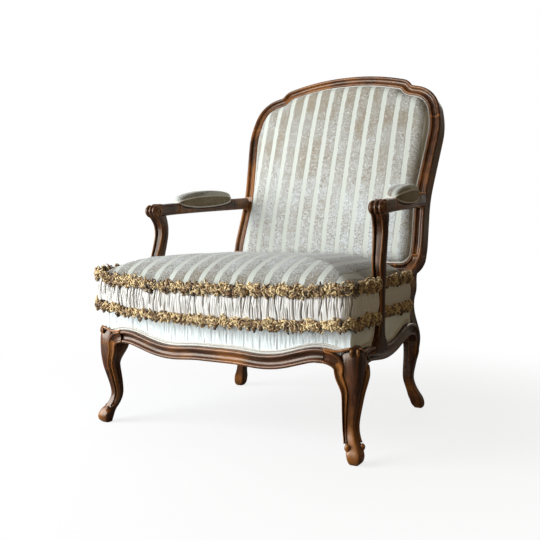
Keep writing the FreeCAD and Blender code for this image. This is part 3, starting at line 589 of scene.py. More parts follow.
def toned(colour, share):
    """A colour made darker or paler."""
    return tuple(min(1.0, share * value) for value in colour)


def grained(grain, along, across):
    """Stretch of a noise whose streaks follow one axis."""
    return tuple(along if axis == grain else across for axis in "XYZ")


# WALNUT_DARK also serves as painted shade in the hollows, and WALNUT_WARM as painted highlight on the beads.
WALNUT_DARK = (0.014, 0.0055, 0.003)
WALNUT_MID = (0.105, 0.034, 0.013)
WALNUT_WARM = (0.420, 0.155, 0.030)
WALNUT_WORN = (0.50, 0.245, 0.105)


def walnut(name, grain):
    """Waxed walnut: streaks, warm patches, worn arrises, wax and painted shade in hollows, rubbing and
    painted highlight on high places.
    """
    s = Shader(name, Coat_Weight=0.30, Coat_Roughness=0.17, Specular_IOR_Level=0.45,
               Specular_Tint=(1.0, 0.80, 0.62, 1.0))
    streak = s.noise(1.0, s.place(grained(grain, 9.0, 90.0)), detail=6, roughness=0.62, distortion=0.6)
    fine = s.noise(1.0, s.place(grained(grain, 40.0, 700.0)), detail=2)
    wood = s.mix(s.span(streak, 0.32, 0.68), WALNUT_DARK, WALNUT_MID)
    wood = s.mix(s.span(s.noise(6.5), 0.48, 0.66, 0.0, 0.55), wood, WALNUT_WARM)
    # Darkest in the hollows: partly dark wax, partly painted shade.
    hollow = s.occlusion(0.010)
    wood = s.mix(s.span(hollow, 0.50, 0.95, 0.92, 0.0), wood, WALNUT_DARK)
    soft = s.node("Bevel", {"samples": 6}, Radius=0.0028).outputs["Normal"]
    flat = s.node("VectorMath", {"operation": "DOT_PRODUCT"}, Vector=s.node("NewGeometry").outputs["Normal"])
    s.feed(flat.inputs[1], soft)
    edge = s.span(flat.outputs["Value"], 0.90, 0.992, 1.0, 0.0)
    wear = s.math("MULTIPLY", edge, s.span(hollow, 0.75, 0.97))
    wear = s.math("MULTIPLY", wear, s.span(s.noise(26.0, detail=5), 0.36, 0.60, 0.25, 0.95))
    wood = s.mix(wear, wood, WALNUT_WORN)
    # Warm on the high places of the beads: partly rubbing, partly painted highlight.
    raised = s.span(s.occlusion(0.006, inside=True), 0.45, 0.85, 0.75, 0.0)
    wood = s.mix(s.math("MULTIPLY", raised, s.span(hollow, 0.70, 0.95)), wood, WALNUT_WARM)
    rough = s.span(s.noise(30.0), 0.3, 0.7, 0.26, 0.40)
    s.finish(wood, rough, s.bump(fine, 0.0002, 0.25, soft))


IVORY = (0.68, 0.71, 0.645)
TAUPE = (0.355, 0.325, 0.268)
TAUPE_BROWN = (0.33, 0.268, 0.185)
SILVER = (0.80, 0.86, 0.885)
OLIVE = (0.25, 0.205, 0.135)
# Yarn colours from brown through gold to straw: partly the yarn's own, partly painted shade and painted
# highlight.
YARN_BROWN = (0.030, 0.013, 0.005)
YARN_GOLD = (0.30, 0.16, 0.050)
YARN_STRAW = (0.86, 0.68, 0.36)
STEEL_DARK = (0.30, 0.29, 0.28)
STEEL_PALE = (0.55, 0.54, 0.52)
# Painted sheen of crushed velvet: two heights, and how pale the pile is painted at each.
BACK_SHEEN = (0.42, 1.02, 0.060, -0.025)
SEAT_SHEEN = (0.395, 0.460, -0.025, 0.055)
NO_SHEEN = (0.0, 1.0, 0.0, 0.0)


def crushed_pile(s, base, deep, pale, sheen=NO_SHEEN):
    """Colour and height of crushed velvet: pale flecks and dark dents, with more or fewer pale flecks by
    height as painted sheen.
    """
    drift = s.noise(9.0)
    fleck = s.noise(125.0, detail=6, roughness=0.82, distortion=3.0)
    dent = s.noise(150.0, detail=5, roughness=0.8, distortion=2.5)
    # Painted sheen: the pile is painted paler or darker by height.
    lit = s.math("SUBTRACT", s.span(s.axis("Z"), *sheen), s.span(drift, 0.35, 0.65, -0.01, 0.02))
    colour = s.mix(s.span(drift, 0.38, 0.66), base, deep)
    colour = s.mix(s.span(s.math("ADD", fleck, lit), 0.48, 0.58, 0.0, 0.95), colour, pale)
    return s.mix(s.span(dent, 0.37, 0.48, 0.85, 0.0), colour, toned(deep, 0.42)), fleck


def striped_cloth(name, start, sheen, tone):
    """Crushed velvet stripes between narrow plain ones. Stripes lie across X."""
    s = Shader(name, Roughness=0.85, Sheen_Weight=0.35, Sheen_Roughness=0.4)
    wander = s.span(s.noise(70.0, detail=4), 0.2, 0.8, -0.0012, 0.0012)
    across = s.math("ADD", s.math("ADD", s.axis("X"), wander), 10.5 * STRIPE_PITCH - start)
    place = s.math("FRACT", s.math("DIVIDE", across, STRIPE_PITCH))
    phase = s.math("ABSOLUTE", s.math("SUBTRACT", place, 0.5))
    half = STRIPE_IVORY / 2
    velvet = s.span(phase, half - 0.02, half + 0.02)
    # The tone paints this whole copy of the cloth darker, as painted shade.
    plain = toned(IVORY, 0.4 + 0.6 * tone)
    pale = toned(SILVER, 0.4 + 0.6 * tone)
    pile, fleck = crushed_pile(s, toned(TAUPE, tone), toned(TAUPE_BROWN, tone), pale, sheen)
    thread = s.noise(1.0, s.place((2200.0, 260.0, 260.0)), detail=2)
    ivory = s.mix(s.span(thread, 0.3, 0.7, 0.0, 0.35), plain, toned(plain, 0.72))
    height = s.math("ADD", s.math("MULTIPLY", velvet, 0.6), s.math("MULTIPLY", fleck, velvet))
    s.finish(s.mix(velvet, ivory, pile), None, s.bump(height, 0.0012, 0.7))


def plain_velvet(name, base):
    s = Shader(name, Roughness=0.9, Sheen_Weight=0.4, Sheen_Roughness=0.4)
    pile, fleck = crushed_pile(s, base, toned(base, 0.7), toned(base, 1.7))
    s.finish(pile, None, s.bump(fleck, 0.0008, 0.5))


def plain_cloth(name, colour, thread_scale, shade=0.75, crease=None):
    """Plain woven cloth with a fine thread, uneven soiling and, if wanted, painted shade in its creases."""
    s = Shader(name, Roughness=0.9, Sheen_Weight=0.15)
    warp = s.noise(1.0, s.place((thread_scale, thread_scale, thread_scale * 0.12)), detail=2)
    dull = toned(colour, shade)
    mixed = s.mix(s.span(warp, 0.3, 0.7, 0.0, 0.4), colour, dull)
    mixed = s.mix(s.span(s.noise(14.0, detail=4), 0.5, 0.75, 0.0, 0.35), mixed, dull)
    if crease:
        # Painted shade: darker where the cloth is hollow, in the gathers and crinkles.
        mixed = s.mix(s.span(s.occlusion(0.008), 0.25, 0.72, 0.95, 0.0), mixed, crease)
    s.finish(mixed, None, s.bump(warp, 0.0003, 0.6))


def fringe_yarn(name):
    """Gold and brown yarn. Each loop carries its own tint, with painted highlight towards its tip and painted
    shade at its base.
    """
    s = Shader(name, Roughness=0.55, Sheen_Weight=0.3)
    tint = s.node("Attribute", {"attribute_name": "tint"}).outputs["Fac"]
    colour = s.mix(s.span(tint, 0.0, 0.55), YARN_BROWN, YARN_GOLD)
    colour = s.mix(s.span(tint, 0.50, 1.0), colour, YARN_STRAW)
    s.finish(colour, None, s.bump(s.noise(900.0, detail=2), 0.0005, 0.6))


def plain_wood(name, colour):
    s = Shader(name, Roughness=0.6)
    streak = s.noise(1.0, s.place((12.0, 12.0, 120.0)), detail=5)
    wood = s.mix(s.span(streak, 0.3, 0.7), colour, toned(colour, 0.6))
    s.finish(wood, None, s.bump(streak, 0.0003, 0.4))


def dull_steel(name):
    s = Shader(name, Metallic=1.0)
    mark = s.noise(300.0)
    s.finish(s.mix(mark, STEEL_DARK, STEEL_PALE), s.span(mark, 0.3, 0.7, 0.3, 0.55))


def make_materials():
    # One striped cloth in three copies, each with its own painted sheen; the seat and the pads are painted
    # darker by tone, as painted shade.
    striped_cloth("striped_back", BACK_STRIPE_START, BACK_SHEEN, 0.93)
    striped_cloth("striped_seat", SEAT_STRIPE_START, SEAT_SHEEN, 0.66)
    striped_cloth("striped_pad", STRIPE_PITCH / 2, NO_SHEEN, 0.7)
    plain_velvet("olive_velvet", OLIVE)
    # The ivory boxing and the deck carry painted shade in their creases.
    plain_cloth("ivory", (0.76, 0.745, 0.715), 1500.0, crease=(0.10, 0.070, 0.050))
    plain_cloth("deck", (0.88, 0.95, 0.96), 900.0, 0.90, crease=(0.44, 0.50, 0.51))
    plain_cloth("welt", (0.74, 0.72, 0.66), 1200.0)
    plain_cloth("black", (0.012, 0.012, 0.014), 900.0)
    fringe_yarn("fringe")
    plain_wood("beech", (0.42, 0.27, 0.13))
    dull_steel("steel")
    for axis in "XYZ":
        walnut("walnut_" + axis.lower(), axis)


def paint_nodes():
    """Finishes of the CAD pieces that stay in view."""
    by_material = {
        "walnut_x": ["front_seat_rail", "rear_seat_rail", "crest_rail", "lower_back_rail"],
        "walnut_y": ["side_seat_rail_left", "side_seat_rail_right"],
        "walnut_z": ["back_post_left", "back_post_right"],
        "beech": ["front_corner_blocks", "rear_corner_blocks"],
        "steel": ["corner_block_screws"],
    }
    for material, names in by_material.items():
        for name in names:
            NODES[name].data.materials.clear()
            NODES[name].data.materials.append(MATERIALS[material])


# Carved wood.
def spline(table, places):
    """Columns of a table at given places of its first column, along a smooth curve."""
    table = np.array(table)
    at = table[:, 0]
    slopes = np.gradient(table[:, 1:], at, axis=0)
    places = np.clip(places, at[0], at[-1])
    low = np.clip(np.searchsorted(at, places) - 1, 0, len(at) - 2)
    step = (at[low + 1] - at[low])[:, None]
    t = ((places - at[low])[:, None]) / step
    h00 = 2 * t ** 3 - 3 * t ** 2 + 1
    h10 = t ** 3 - 2 * t ** 2 + t
    h11 = t ** 3 - t ** 2
    start = h00 * table[low, 1:] + h10 * step * slopes[low]
    end = (1 - h00) * table[low + 1, 1:] + h11 * step * slopes[low + 1]
    return (start + end).T


def soft_square(count, power):
    """Unit points round a square with soft corners."""
    points = stacked(*circle(count))
    return np.sign(points) * np.abs(points) ** (2 / power)


def ball(centre, radii):
    """Points and faces of an ellipsoid."""
    rows, columns = 8, 14
    c, n = circle(columns)
    rings = []
    for tilt in np.linspace(-math.pi / 2, math.pi / 2, rows + 2)[1:-1]:
        ring = stacked(c * math.cos(tilt), n * math.cos(tilt), math.sin(tilt))
        rings.append(centre + ring * radii)
    pole = np.array([0, 0, radii[2]])
    return ringed(rings, centre + pole, centre - pole)


def leg_section(z):
    """Middle and half side of the front leg at heights."""
    offset, side = spline(LEG, np.atleast_1d(z))
    return LEG_FOOT[0] + offset / math.sqrt(2), LEG_FOOT[1] - offset / math.sqrt(2), side / 2


def knee_flare(z):
    """How far the leg spreads towards the rails just under them."""
    return KNEE_FLARE * ramp(z, *FLARE_RISE) * (1 - ramp(z, *FLARE_FALL))


def leg_body():
    """Cabriole leg with a domed knee."""
    dome_height = KNEE_TOP - KNEE_DOME
    over_dome = KNEE_DOME + dome_height * np.sin(np.linspace(0, math.pi / 2, 14))[1:-1]
    heights = np.concatenate([np.linspace(0, KNEE_DOME, 90), over_dome])
    x, y, half = leg_section(heights)
    rings = []
    for i, z in enumerate(heights):
        knee = float(ramp(z, *KNEE_SPAN))
        u, v = soft_square(72, 6.0 - 3.0 * knee).T
        corner = np.clip((u - v) / 2, 0, 1) ** 3
        dome = math.sqrt(1 - max(0.0, (z - KNEE_DOME) / dome_height) ** 2)
        size = half[i] * (0.45 + 0.55 * dome) + KNEE_PEAK * knee * corner * dome
        across = x[i] + u * size - knee_flare(z) * np.clip(-u, 0, 1)
        along = y[i] + v * size + knee_flare(z) * np.clip(v, 0, 1)
        rings.append(stacked(across, along, z))
    top = rings[-1].mean(axis=0) + [0, 0, 0.001]
    return ringed(rings, top, (*LEG_FOOT, 0.0))


def leg_mouldings():
    """The rails' mouldings, which turn down the inner edges of the leg's two faces and end at the toe."""
    down = np.linspace(MOULD_START, MOULD_END, 40)
    x, y, half = leg_section(down)
    width = np.interp(down, LEG_MOULD_HEIGHTS, LEG_MOULD_WIDTHS)
    inner = half - width / 2 + MOULD_OVERHANG + 0.7 * knee_flare(down)
    front = np.vstack([FRONT_TURN, stacked(x - inner, down, y - half - SKIN, width)])
    side = np.vstack([SIDE_TURN, stacked(y + inner, down, x + half + SKIN, width)])
    return [leg_moulding(front, [0, 1, 2], 1), leg_moulding(side, [1, 0, 2], -1)]


def leg_moulding(line, axes, facing):
    """A moulding along a line as in FRONT_TURN. Axes bring along, out and height into the order X, Y, Z."""
    run = run_of(line[:, :2])
    marks = np.linspace(0, run[-1], 90)
    along, z, far, widths = (np.interp(marks, run, column) for column in line.T)
    for values in (along, z, far):
        values[2:-2] = np.convolve(values, np.ones(5) / 5, "same")[2:-2]
    left = left_normals(stacked(along, z))
    path = stacked(along, far, z)[:, axes]
    across = facing * stacked(left[:, 0], 0.0, left[:, 1])[:, axes]
    out = facing * np.array([0.0, -1.0, 0.0])[axes]
    u = np.linspace(-0.5, 0.5, 21)
    relief = np.interp(u, MOULD_PLACES, MOULD_RELIEF)
    heights = np.interp(widths, MOULD_WIDTHS, MOULD_HEIGHTS)
    rings = []
    for point, sideways, wide, tall in zip(path, across, widths, heights):
        ring = [point + sideways * a * wide + out * h * tall for a, h in zip(u, relief)]
        ring += [point + sideways * a * wide - out * MOULD_SUNK for a in (0.5, 0.0, -0.5)]
        rings.append(np.array(ring))
    return capped(rings)


def carved_legs():
    """Front legs: round knees with petals, mouldings down the inner edges, a pearl on each scroll toe."""
    x, y, half = (float(v[0]) for v in leg_section(PEARL_Z))
    parts = [leg_body(), *leg_mouldings()]
    front = (x - half + PEARL_IN, y - half - PEARL_OUT, PEARL_Z)
    side = (x + half + PEARL_OUT, y + half - PEARL_IN, PEARL_Z)
    parts.append(ball(front, (PEARL_WIDE, PEARL_DEEP, PEARL_TALL)))
    parts.append(ball(side, (PEARL_DEEP, PEARL_WIDE, PEARL_TALL)))
    parts += [ball(place, radii) for place, radii in PETALS]
    parts += [tube(resample(np.array(bead), False, 0.003), KNEE_BEAD_RADIUS, 10) for bead in KNEE_BEADS]
    parts.append(capped([[(*corner, z) for corner in POST] for z in POST_ENDS]))
    carve("carved_leg", "walnut_z", parts, "front_leg")


def carve(name, material, parts, node):
    """The same carving on both sides of the chair, in place of a CAD pair."""
    points, faces = joined(parts)
    for side, mirror in SIDES:
        turned = faces if mirror > 0 else [face[::-1] for face in faces]
        piece = mesh_piece(name + "_" + side, (np.multiply(points, (mirror, 1, 1)), turned), material)
        dress(piece, "walnut", node + "_" + side)


def reeding(share, swell, deep, width):
    """Relief of three reeds with a cut between them. The share runs from -1 to 1."""
    cuts = bell(share - 0.33, width) + bell(share + 0.33, width)
    return swell * np.cos(share * 3 * math.pi) - deep * cuts


def cut(distance, shape):
    """Depth of a cut at a distance from the edge that it follows."""
    place, deep, width = shape
    return deep * bell(distance - place, width)


def carved_supports():
    """Arm supports with reeded fronts and a hollow down each side."""
    heights = np.linspace(SUPPORT[0][0], SUPPORT[-1][0], 110)
    along, across, depth, width = spline(SUPPORT, heights)
    u, v = soft_square(120, 5.0).T
    reeds = ramp(-v, 0.55, 0.95) * reeding(u, *SUPPORT_REEDS)
    sides = np.sign(u) * ramp(np.abs(u), 0.6, 0.95)
    rings = []
    for i, z in enumerate(heights):
        fade = ramp(z, *REED_START)
        hollow = cut((v + 1) * depth[i] / 2, SUPPORT_CUT)
        x = across[i] + u * width[i] / 2 - fade * sides * hollow
        y = along[i] + v * depth[i] / 2 - fade * reeds
        rings.append(stacked(x, y, z))
    carve("carved_support", "walnut_z", [capped(rings)], "arm_support")


def arm_length():
    """Arm with a groove along each side, a scoop for the pad and a break line at each end of it."""
    along = np.concatenate([np.linspace(ARM_RAIL[0][0], ARM[0][0] - 0.002, 60),
                            np.linspace(ARM[0][0], ARM_RAIL[-1][0], 150)])
    across, z, wide, tall = spline(ARM_RAIL, along)
    share = np.clip((along - ARM[0][0]) / (ARM[-1][0] - ARM[0][0]), 0, 1)
    scoop = (PAD_SCOOP + 0.0004) * np.clip(1 - (2 * share - 1) ** 2, 0, 1) ** 0.45
    u, v = soft_square(84, 4.4).T
    sides = np.sign(u) * ramp(np.abs(u), 0.6, 0.95)
    rings = []
    for i, y in enumerate(along):
        bottom, deep = z[i] - tall[i] / 2, tall[i] - scoop[i]
        line = (v + 1) / 2 * deep
        groove = cut(line, ARM_LOW_CUT)
        groove += cut(deep - line, ARM_HIGH_CUT) * (scoop[i] < 0.004)
        notch = BREAK_DEPTH * sum(bell(y - place, BREAK_WIDTH) for place in ARM_BREAKS)
        x = across[i] + u * (wide[i] / 2 - notch) - sides * groove
        rings.append(stacked(x, y, bottom + line - notch * (v > 0.5)))
    return capped(rings)


def hand_ring(x, radius, count):
    """A circle round the roll of the hand."""
    c, n = circle(count)
    return stacked(x, HAND_Y + radius * c, HAND_Z + radius * n)


def rolled_hand():
    """Reeded roll with two raised rings on each end and three leaves on top."""
    middle, half = ARM_RAIL[0][1], HAND_WIDTH / 2
    rings = []
    for share in np.linspace(-1, 1, 45):
        radius = HAND_RADIUS * (1 - 0.10 * abs(share) ** 6) + reeding(share, *HAND_REEDS)
        rings.append(hand_ring(middle + share * half, radius, 48))
    parts = [capped(rings)]
    for radius in VOLUTE_RADII:
        for end in (-1, 1):
            ring = hand_ring(middle + end * (half + SKIN), radius, 40)
            parts.append(tube(ring, VOLUTE_LINE, 6, closed=True))
    parts += [ball((middle + place, LEAF_Y, LEAF_Z), LEAF_RADII) for place in LEAF_PLACES]
    return parts


def carved_arms():
    carve("carved_arm", "walnut_y", [arm_length(), *rolled_hand()], "arm_rail")


# Upholstery.
def puffed(piece, voxel, pressure, most):
    """Swells a closed mesh with a cloth simulation. No point moves further than the given distance."""
    bpy.context.view_layer.objects.active = piece
    remesh = piece.modifiers.new("remesh", "REMESH")
    remesh.mode = "VOXEL"
    remesh.voxel_size = voxel
    bpy.ops.object.modifier_apply(modifier=remesh.name)
    rest = vertex_array(piece)
    cloth = piece.modifiers.new("cloth", "CLOTH")
    cloth.settings.use_pressure = True
    cloth.settings.uniform_pressure_force = pressure
    cloth.settings.effector_weights.gravity = 0.0
    cloth.point_cache.frame_end = SIM_FRAMES
    scene = bpy.context.scene
    for step in range(1, SIM_FRAMES + 1):
        scene.frame_set(step)
    bpy.ops.object.modifier_apply(modifier=cloth.name)
    scene.frame_set(1)
    moved = vertex_array(piece) - rest
    length = np.maximum(np.linalg.norm(moved, axis=1), 1e-9)
    rest += moved * np.minimum(1.0, most / length)[:, None]
    piece.data.vertices.foreach_set("co", rest.ravel())
    piece.data.polygons.foreach_set("use_smooth", [True] * len(piece.data.polygons))
    piece.data.update()


def vertex_array(piece):
    flat = np.zeros(len(piece.data.vertices) * 3)
    piece.data.vertices.foreach_get("co", flat)
    return flat.reshape(-1, 3)


def back_outline(inset, spacing):
    """Closed line inside the back frame, as across and height, moved in from the middle of its moulding."""
    ring = rounded_line(both_halves(BACK_LINE), True, spacing)
    raked = ring / [1.0, math.cos(RAKE)]
    raked -= outward_normals(raked) * inset
    return raked * [1.0, math.cos(RAKE)]


def inside_back():
    """Crowned back, full at its edges, tight behind the piping."""
    ring = back_outline(BACK_BAND / 2 + 2 * WELT, 0.006)
    rings = [lean(shrunk(ring, BACK_MIDDLE, 0.9), BACK_PAD_REAR), lean(ring, BACK_PAD_FACE * 2)]
    for share in np.linspace(0, 1, 46)[:-1] ** 1.9:
        flat = shrunk(ring, BACK_MIDDLE, 1 - share)
        rings.append(lean(flat, BACK_PAD_FACE - back_rise(edge_distance(flat, ring))))
    front = lean(BACK_MIDDLE, BACK_PAD_FACE - BACK_EDGE_RISE - BACK_CROWN)[0]
    rear = lean(BACK_MIDDLE, BACK_PAD_REAR)[0]
    piece = mesh_piece("inside_back", ringed(rings, front, rear), "striped_back")
    dress(piece, "striped_velvet", "back_pad", "back_webbing_cross", "back_webbing_upright")


def back_rise(distance):
    """How far the back stands out at a distance from its edge: a steep roll, then a gentle crown."""
    roll = np.clip(distance / BACK_EDGE_ROLL, 0, 1)
    crown = np.clip(distance / BACK_CROWN_REACH, 0, 1)
    return BACK_EDGE_RISE * np.sqrt(1 - (1 - roll) ** 2) + BACK_CROWN * (1 - (1 - crown) ** 2)


def outside_back():
    """Cloth over the rear of the back, a little full at its edge."""
    ring = back_outline(BACK_BAND / 2 + 0.0004, 0.008)
    rings = []
    for size, sag in OUTSIDE_BACK_RINGS:
        rings.append(lean(shrunk(ring, BACK_MIDDLE, size), OUTSIDE_BACK_DEPTH + sag))
    rear = lean(BACK_MIDDLE, OUTSIDE_BACK_DEPTH)[0]
    front = lean(BACK_MIDDLE, OUTSIDE_BACK_FRONT)[0]
    piece = mesh_piece("outside_back", ringed(rings, rear, front), "striped_back")
    dress(piece, "striped_velvet", "outside_back_panel")


def piping(name, tubes, node):
    piece = mesh_piece(name, joined(tubes), "welt")
    dress(piece, "white_welt", node)


def back_piping():
    path = lean(back_outline(BACK_BAND / 2 + WELT, 0.005), BACK_PAD_FACE - 0.001)
    piping("back_piping", [tube(path, WELT, closed=True)], "back_welt")


def at_height(ring, z):
    return stacked(*ring.T, z)


def corner_lift(x):
    """How much the cushion and the deck under it turn up towards their ends."""
    share = np.abs(x) / CUSHION_OUTLINE[0][0]
    return CORNER_LIFT * share ** 2.2 + FAR_CORNER_LIFT * np.clip(-x / CUSHION_OUTLINE[0][0], 0, 1) ** 3


def lifted(ring, z):
    """A flat ring at a height, turned up towards its ends."""
    return at_height(ring, z + corner_lift(ring[:, 0]))


def edge_distance(points, ring):
    """Distance of flat points from a closed outline."""
    gaps = np.linalg.norm(points[:, None, :] - ring[None, :, :], axis=2)
    return gaps.min(axis=1)


def cushion_top():
    """Crowned striped top, swollen by a cloth simulation."""
    ring = cushion_ring(0.006)
    ring -= outward_normals(ring) * TOP_INSET
    rings = [lifted(shrunk(ring, CUSHION_MIDDLE, 0.96), BOXING_TOP - TOP_TUCK)]
    for share in np.linspace(0, 1, 36)[:-1] ** 1.4:
        flat = shrunk(ring, CUSHION_MIDDLE, 1 - share)
        near = np.clip(edge_distance(flat, ring) / CROWN_INSET, 0, 1)
        rise = 1 - (1 - near) ** 2.1
        rings.append(at_height(flat, BOXING_TOP + CROWN_HEIGHT * rise + corner_lift(flat[:, 0]) * (1 - rise)))
    top = (*CUSHION_MIDDLE, BOXING_TOP + CROWN_HEIGHT)
    bottom = (*CUSHION_MIDDLE, BOXING_TOP - TOP_TUCK)
    piece = mesh_piece("cushion_top", ringed(rings, top, bottom), "striped_seat")
    puffed(piece, VOXEL, PUFF_PRESSURE, PUFF_LIMIT)
    dress(piece, "striped_velvet", "cushion_cover", "cushion_filling", body="cushion")


def gather_depth(run, height, total, rng):
    """How deep the gathers of the boxing are at places along it, and between its edges."""
    depth = np.zeros((len(height), len(run)))
    for gaps, widths, strengths in GATHERS:
        place = 0.0
        while place < total:
            width = rng.uniform(*widths)
            slant = rng.uniform(-0.007, 0.007)
            bow = rng.uniform(-0.003, 0.003)
            strength = rng.uniform(*strengths)
            low, top = rng.choice(GATHER_REACHES)
            top += rng.uniform(-0.15, 0.15)
            low += rng.uniform(-0.15, 0.15)
            line = place + slant * (height - 0.5) + bow * np.sin(math.pi * height * 2)
            gap = (run[None, :] - line[:, None] + total / 2) % total - total / 2
            reach = ramp(height, low, low + 0.2) * (1 - ramp(height, top - 0.2, top))
            depth += strength * reach[:, None] * bell(gap, width)
            place += rng.uniform(*gaps)
    return np.minimum(depth, 1.2)


def cushion_boxing():
    """Gathered band between the fringes, and the plain underside."""
    ring = cushion_ring(0.0008)
    out = outward_normals(ring)
    run = run_of(np.vstack([ring, ring[:1]]))
    height = np.linspace(0, 1, 28)
    gathers = gather_depth(run[:-1], height, run[-1], random.Random(7))
    front = 1 - ramp(ring[:, 1], -0.17, -0.14)
    band = []
    for share, row in zip(height, gathers):
        swell = BOXING_SWELL * math.sin(math.pi * share) - BOXING_INSET
        offset = swell - row * GATHER_DEPTH * (0.05 + 0.95 * front)
        z = BOXING_BOTTOM + (BOXING_TOP - BOXING_BOTTOM) * share
        band.append(lifted(ring + out * offset[:, None], z))
    belly = lifted(shrunk(ring, CUSHION_MIDDLE, 0.88), CUSHION_BOTTOM)
    edge = shrunk(ring, CUSHION_MIDDLE, 0.965)
    rings = [belly, lifted(edge, CUSHION_BOTTOM + 0.005), *band, lifted(edge, BOXING_TOP + 0.004)]
    shape = ringed(rings, None, (*CUSHION_MIDDLE, CUSHION_BOTTOM))
    piece = mesh_piece("cushion_boxing", shape, "ivory")
    dress(piece, "ivory_cloth", "cushion_cover", body="cushion")


def fringe(name, z, tall, node, seed):
    """Moss fringe: many small yarn loops, in clumps, on a band round the cushion."""
    rng = random.Random(seed)
    ring = cushion_ring(0.002)
    out = outward_normals(ring)
    sides = 4
    u = np.linspace(0, 1, 8)
    # Painted highlight towards the tip of each loop, painted shade at its base.
    bend = 0.45 * np.sin(math.pi * u) - 0.1
    clump = np.convolve(np.random.default_rng(seed).normal(size=len(ring)), np.ones(4) / 2, "same")
    up = np.array([0, 0, 1.0])
    loops, tints = [], []
    for _ in range(FRINGE_LOOPS):
        place = rng.randrange(len(ring))
        side = rng.triangular(-1, 1, 0)
        outward = np.array([*out[place], 0.0])
        along = np.array([-out[place][1], out[place][0], 0.0])
        lift = corner_lift(ring[place, 0])
        base = np.array([*ring[place], z + lift + side * tall * 0.33 + 0.002 * clump[place]])
        base += along * rng.uniform(-0.002, 0.002) - outward * 0.002
        reach = rng.uniform(*LOOP_REACH) * (1 - 0.35 * abs(side))
        turn = rng.uniform(0, 2 * math.pi)
        sideways = along * math.cos(turn) + up * math.sin(turn)
        aim = outward + along * (rng.uniform(-0.5, 0.5) + 0.3 * clump[place - 2])
        aim += up * (rng.uniform(-0.6, 0.5) + 0.5 * side)
        aim /= np.linalg.norm(aim)
        wide = rng.uniform(*LOOP_WIDTH)
        path = base + np.outer(reach * np.sin(math.pi * u), aim)
        path += np.outer(wide * np.sin(2 * math.pi * u), sideways)
        loops.append(tube(path, rng.uniform(*YARN_RADIUS), sides))
        tint = 0.30 + 0.18 * clump[place] + rng.uniform(-0.42, 0.42)
        tints += np.repeat(np.clip(tint + bend, 0, 1), sides).tolist()
    piece = mesh_piece(name, joined(loops), "fringe")
    attribute = piece.data.attributes.new("tint", "FLOAT", "POINT")
    attribute.data.foreach_set("value", tints)
    dress(piece, "moss_fringe", node, body="cushion")


def side_x(y, inset):
    """Across place of the seat's slanted side at a distance along, moved in from the moulding's face."""
    slope = (SIDE_FRONT_X - SIDE_REAR_X) / (2 * FOOT_SPAN)
    middle = (SIDE_FRONT_X + SIDE_REAR_X) / 2
    return middle - slope * y - inset / math.cos(math.atan(slope))


def deck_crinkle(height, count):
    """How far the deck cloth stands out, in rows between its edges and at points round it."""
    rng = np.random.default_rng(3)
    crinkle = np.zeros((len(height), count))
    for width, strength in CRINKLES:
        rows = rng.normal(size=(4, count))
        kernel = np.exp(-np.linspace(-2, 2, 4 * width + 1) ** 2)
        rows = np.array([np.convolve(np.tile(row, 3), kernel, "same")[count:2 * count] for row in rows])
        rows *= strength / rows.std()
        for r, share in enumerate(height):
            place = share * (len(rows) - 1)
            low = min(int(place), len(rows) - 2)
            blend = ramp(place, low, low + 1)
            crinkle[r] += rows[low] * (1 - blend) + rows[low + 1] * blend
    return np.clip(crinkle, -2.5, 1.5) * CRINKLE_DEPTH


def seat_ring(inset, rear, radius, spacing):
    """Outline of the seat, moved in from the faces of its mouldings."""
    front = RAIL_FRONT_Y + inset
    corners = [(side_x(front, inset), front, radius), (side_x(rear, inset), rear, radius)]
    return rounded_line(both_halves(corners), True, spacing)


def seat_deck():
    """Tight white cloth over the rails, with fine upright crinkles and a rounded rear edge."""
    ring = seat_ring(RAIL_SETBACK - CLOTH, DECK_REAR_Y, 0.004, 0.0011)
    out = outward_normals(ring)
    height = np.linspace(0, 1, 22)
    round_share = np.clip((ring[:, 1] - DECK_ROUND_Y) / DECK_ROUND, 0, 1)
    drop = DECK_ROUND * (1 - np.sqrt(1 - round_share ** 2))
    rise = DECK_TOP - DECK_EDGE + corner_lift(ring[:, 0]) - drop - DECK_HEM
    rings = [at_height(ring - out * DECK_HEM_TURN, DECK_HEM)]
    for share, row in zip(height, deck_crinkle(height, len(ring))):
        rings.append(at_height(ring + out * row[:, None], DECK_HEM + rise * share))
    rings.append(lifted(ring - out * 0.002, DECK_TOP - 0.0005 - drop))
    for inside in (0.006, 0.03, 0.10, 0.2, 0.28):
        rings.append(lifted(ring * (1 - inside / DECK_HALF), DECK_TOP))
    piece = mesh_piece("seat_deck", ringed(rings, (0, 0, DECK_TOP), (0, 0, DECK_HEM)), "deck")
    dress(piece, "white_deck_cloth", "seat_deck_cover", "seat_stuffing", "seat_hessian")


